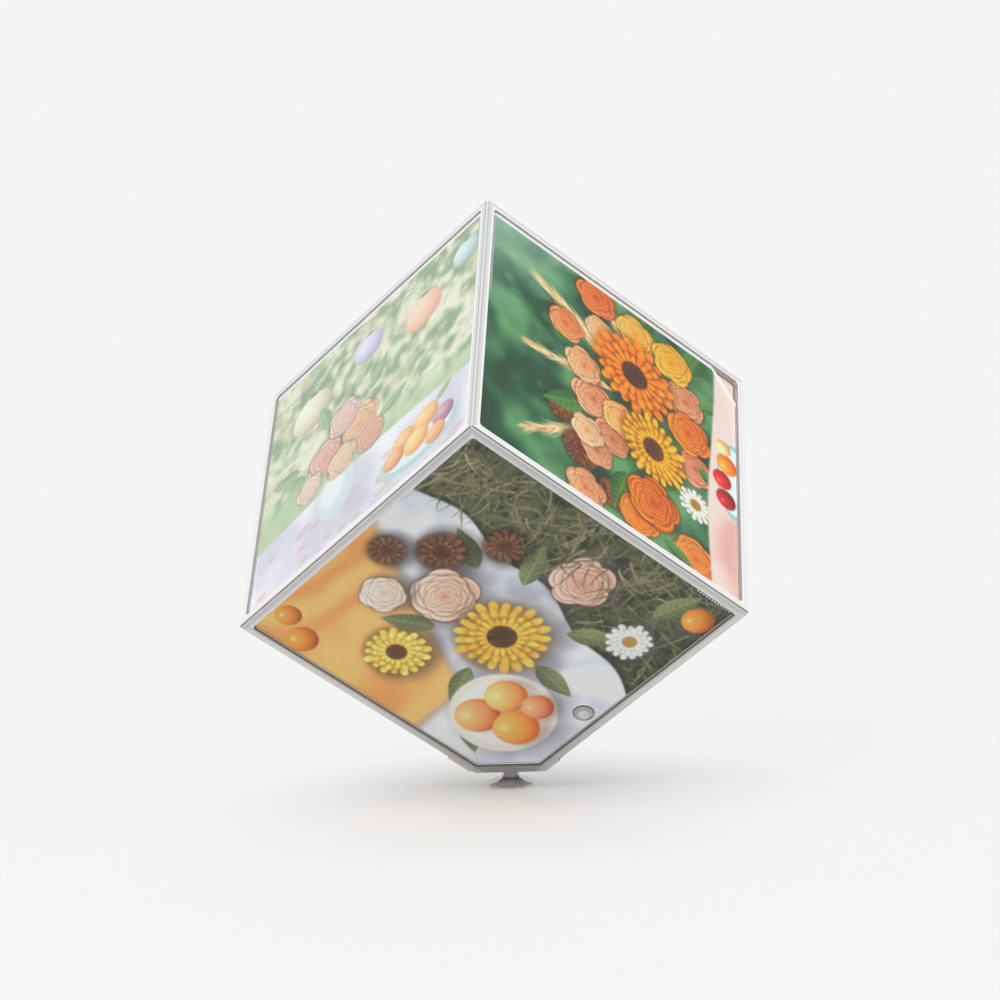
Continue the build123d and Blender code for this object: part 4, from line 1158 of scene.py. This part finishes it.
def add_outline(shape, segments, step):
    """Adds the outline to the bmesh as edges no longer than a cell, and returns them."""
    known = {}

    def vertex(place):
        key = tuple(np.round(place / weld).astype(int))
        if key not in known:
            known[key] = shape.verts.new((*place, 0))
        return known[key]

    sides = []
    for start, end in segments:
        count = max(1, int(np.ceil(np.linalg.norm(end - start) / step)))
        row = [vertex(start + (end - start) * share) for share in np.linspace(0, 1, count + 1)]
        sides += [shape.edges.new(pair) for pair in zip(row, row[1:])]
    return sides


def colours_at(picture, places):
    """A picture's colours at places given as shares of its side, as linear values."""
    spot = np.clip(places * canvas_side - 0.5, 0, canvas_side - 1.001)
    column, row = spot.astype(int).T
    right, up = (spot - spot.astype(int)).T
    low, high = (
        between(picture.colour[line, column], picture.colour[line, column + 1], right)
        for line in (row, row + 1)
    )
    return linear(between(low, high, up))


def of_kind(parts, kind):
    """Those of some bmesh parts that are of one kind."""
    return [part for part in parts if isinstance(part, kind)]


def print_sheet(face, picture, finishes):
    """A print as a dense closed sheet: the picture in front, paper at its sides and back."""
    segments, front, back = print_outline(face)
    low, high = segments.min(), segments.max()
    shape = grid_mesh(low, high, segments)
    grid_rim = [edge for edge in shape.edges if edge.is_boundary]
    outline = add_outline(shape, segments, (high - low) / print_cells)
    # The strip inside the outline, and then the one round the hole for the button's stem
    stem = Vector((button_along, button_in))
    for is_hole in (False, True):
        ring = [
            edge for edge in grid_rim + outline
            if ((edge.verts[0].co.xy - stem).length < hole_reach) == is_hole
        ]
        if ring:
            bmesh.ops.triangle_fill(shape, edges=ring, use_beauty=True)
    bmesh.ops.reverse_faces(shape, faces=[part for part in shape.faces if part.normal.z < 0])
    walls = bmesh.ops.extrude_edge_only(shape, edges=outline)["geom"]
    bmesh.ops.translate(shape, verts=of_kind(walls, bmesh.types.BMVert), vec=(0, 0, back - front))
    back_rim = of_kind(walls, bmesh.types.BMEdge)
    closing = bmesh.ops.triangle_fill(shape, edges=back_rim, use_beauty=True)["geom"]
    paper = of_kind(walls + closing, bmesh.types.BMFace)
    for part in paper:
        part.material_index = 1
    bmesh.ops.recalc_face_normals(shape, faces=paper)
    data = mesh_from(shape, f"picture_{face}", *finishes)
    places = np.zeros(len(data.vertices) * 3, np.float32)
    data.vertices.foreach_get("co", places)
    places = (places.reshape(-1, 3)[:, :2] - low) / (high - low)
    hangs_from_top = face.startswith("upper")
    values = np.ones((len(places), 4), np.float32)
    values[:, :3] = colours_at(picture, 1 - places if hangs_from_top else places)
    data.color_attributes.new("picture", "FLOAT_COLOR", "POINT").data.foreach_set("color", values.ravel())
    data.transform(face_matrix(face) @ Matrix.Translation((0, 0, front)))
    sheet = add_object(f"picture_{face}", data)
    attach(sheet, "cube")
    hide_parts(f"print_{face}")


def photo_paper():
    """Coated photo paper: the picture's colours under a faint grain and a soft sheen."""
    finish = Finish("photo_paper")
    picture = finish.add("Attribute", attribute_name="picture")
    return finish.done(finish.add(
        "BsdfPrincipled",
        Base_Color=finish.shade(picture, finish.drift(2700, 3, 0.93, 1.07)),
        Roughness=finish.drift(300, 2, 0.5, 0.6),
        Specular_IOR_Level=0.15,
        Normal=finish.bump(finish.noise(2400), 0.002 * mm),
    ))


pictures = {
    "upper_right": flower_table,
    "upper_left": lantern_garden,
    "lower_front": picnic_from_above,
    "upper_back": lake_at_dusk,
    "lower_right": flower_meadow,
    "lower_left": shells_on_sand,
}

bpy.context.scene.view_settings.view_transform = "Standard"
add_camera()
add_lamps()
add_world()
add_floor()
give_cad_finishes()
add_shade_core()
print_finishes = [photo_paper(), moulded("print_back", "e2e2de", "eeeeec", 1200, (0.6, 0.7))]
for face, paint in pictures.items():
    print_sheet(face, paint(), print_finishes)
for tone, shades in tick_tones.items():
    tree, tick_inputs = tick_tree(tone, moulded(f"{tone}_ink", *shades, 2600, (0.5, 0.6)))
    for face in ticked_sides:
        add_ticks(face, tone, tree, tick_inputs)
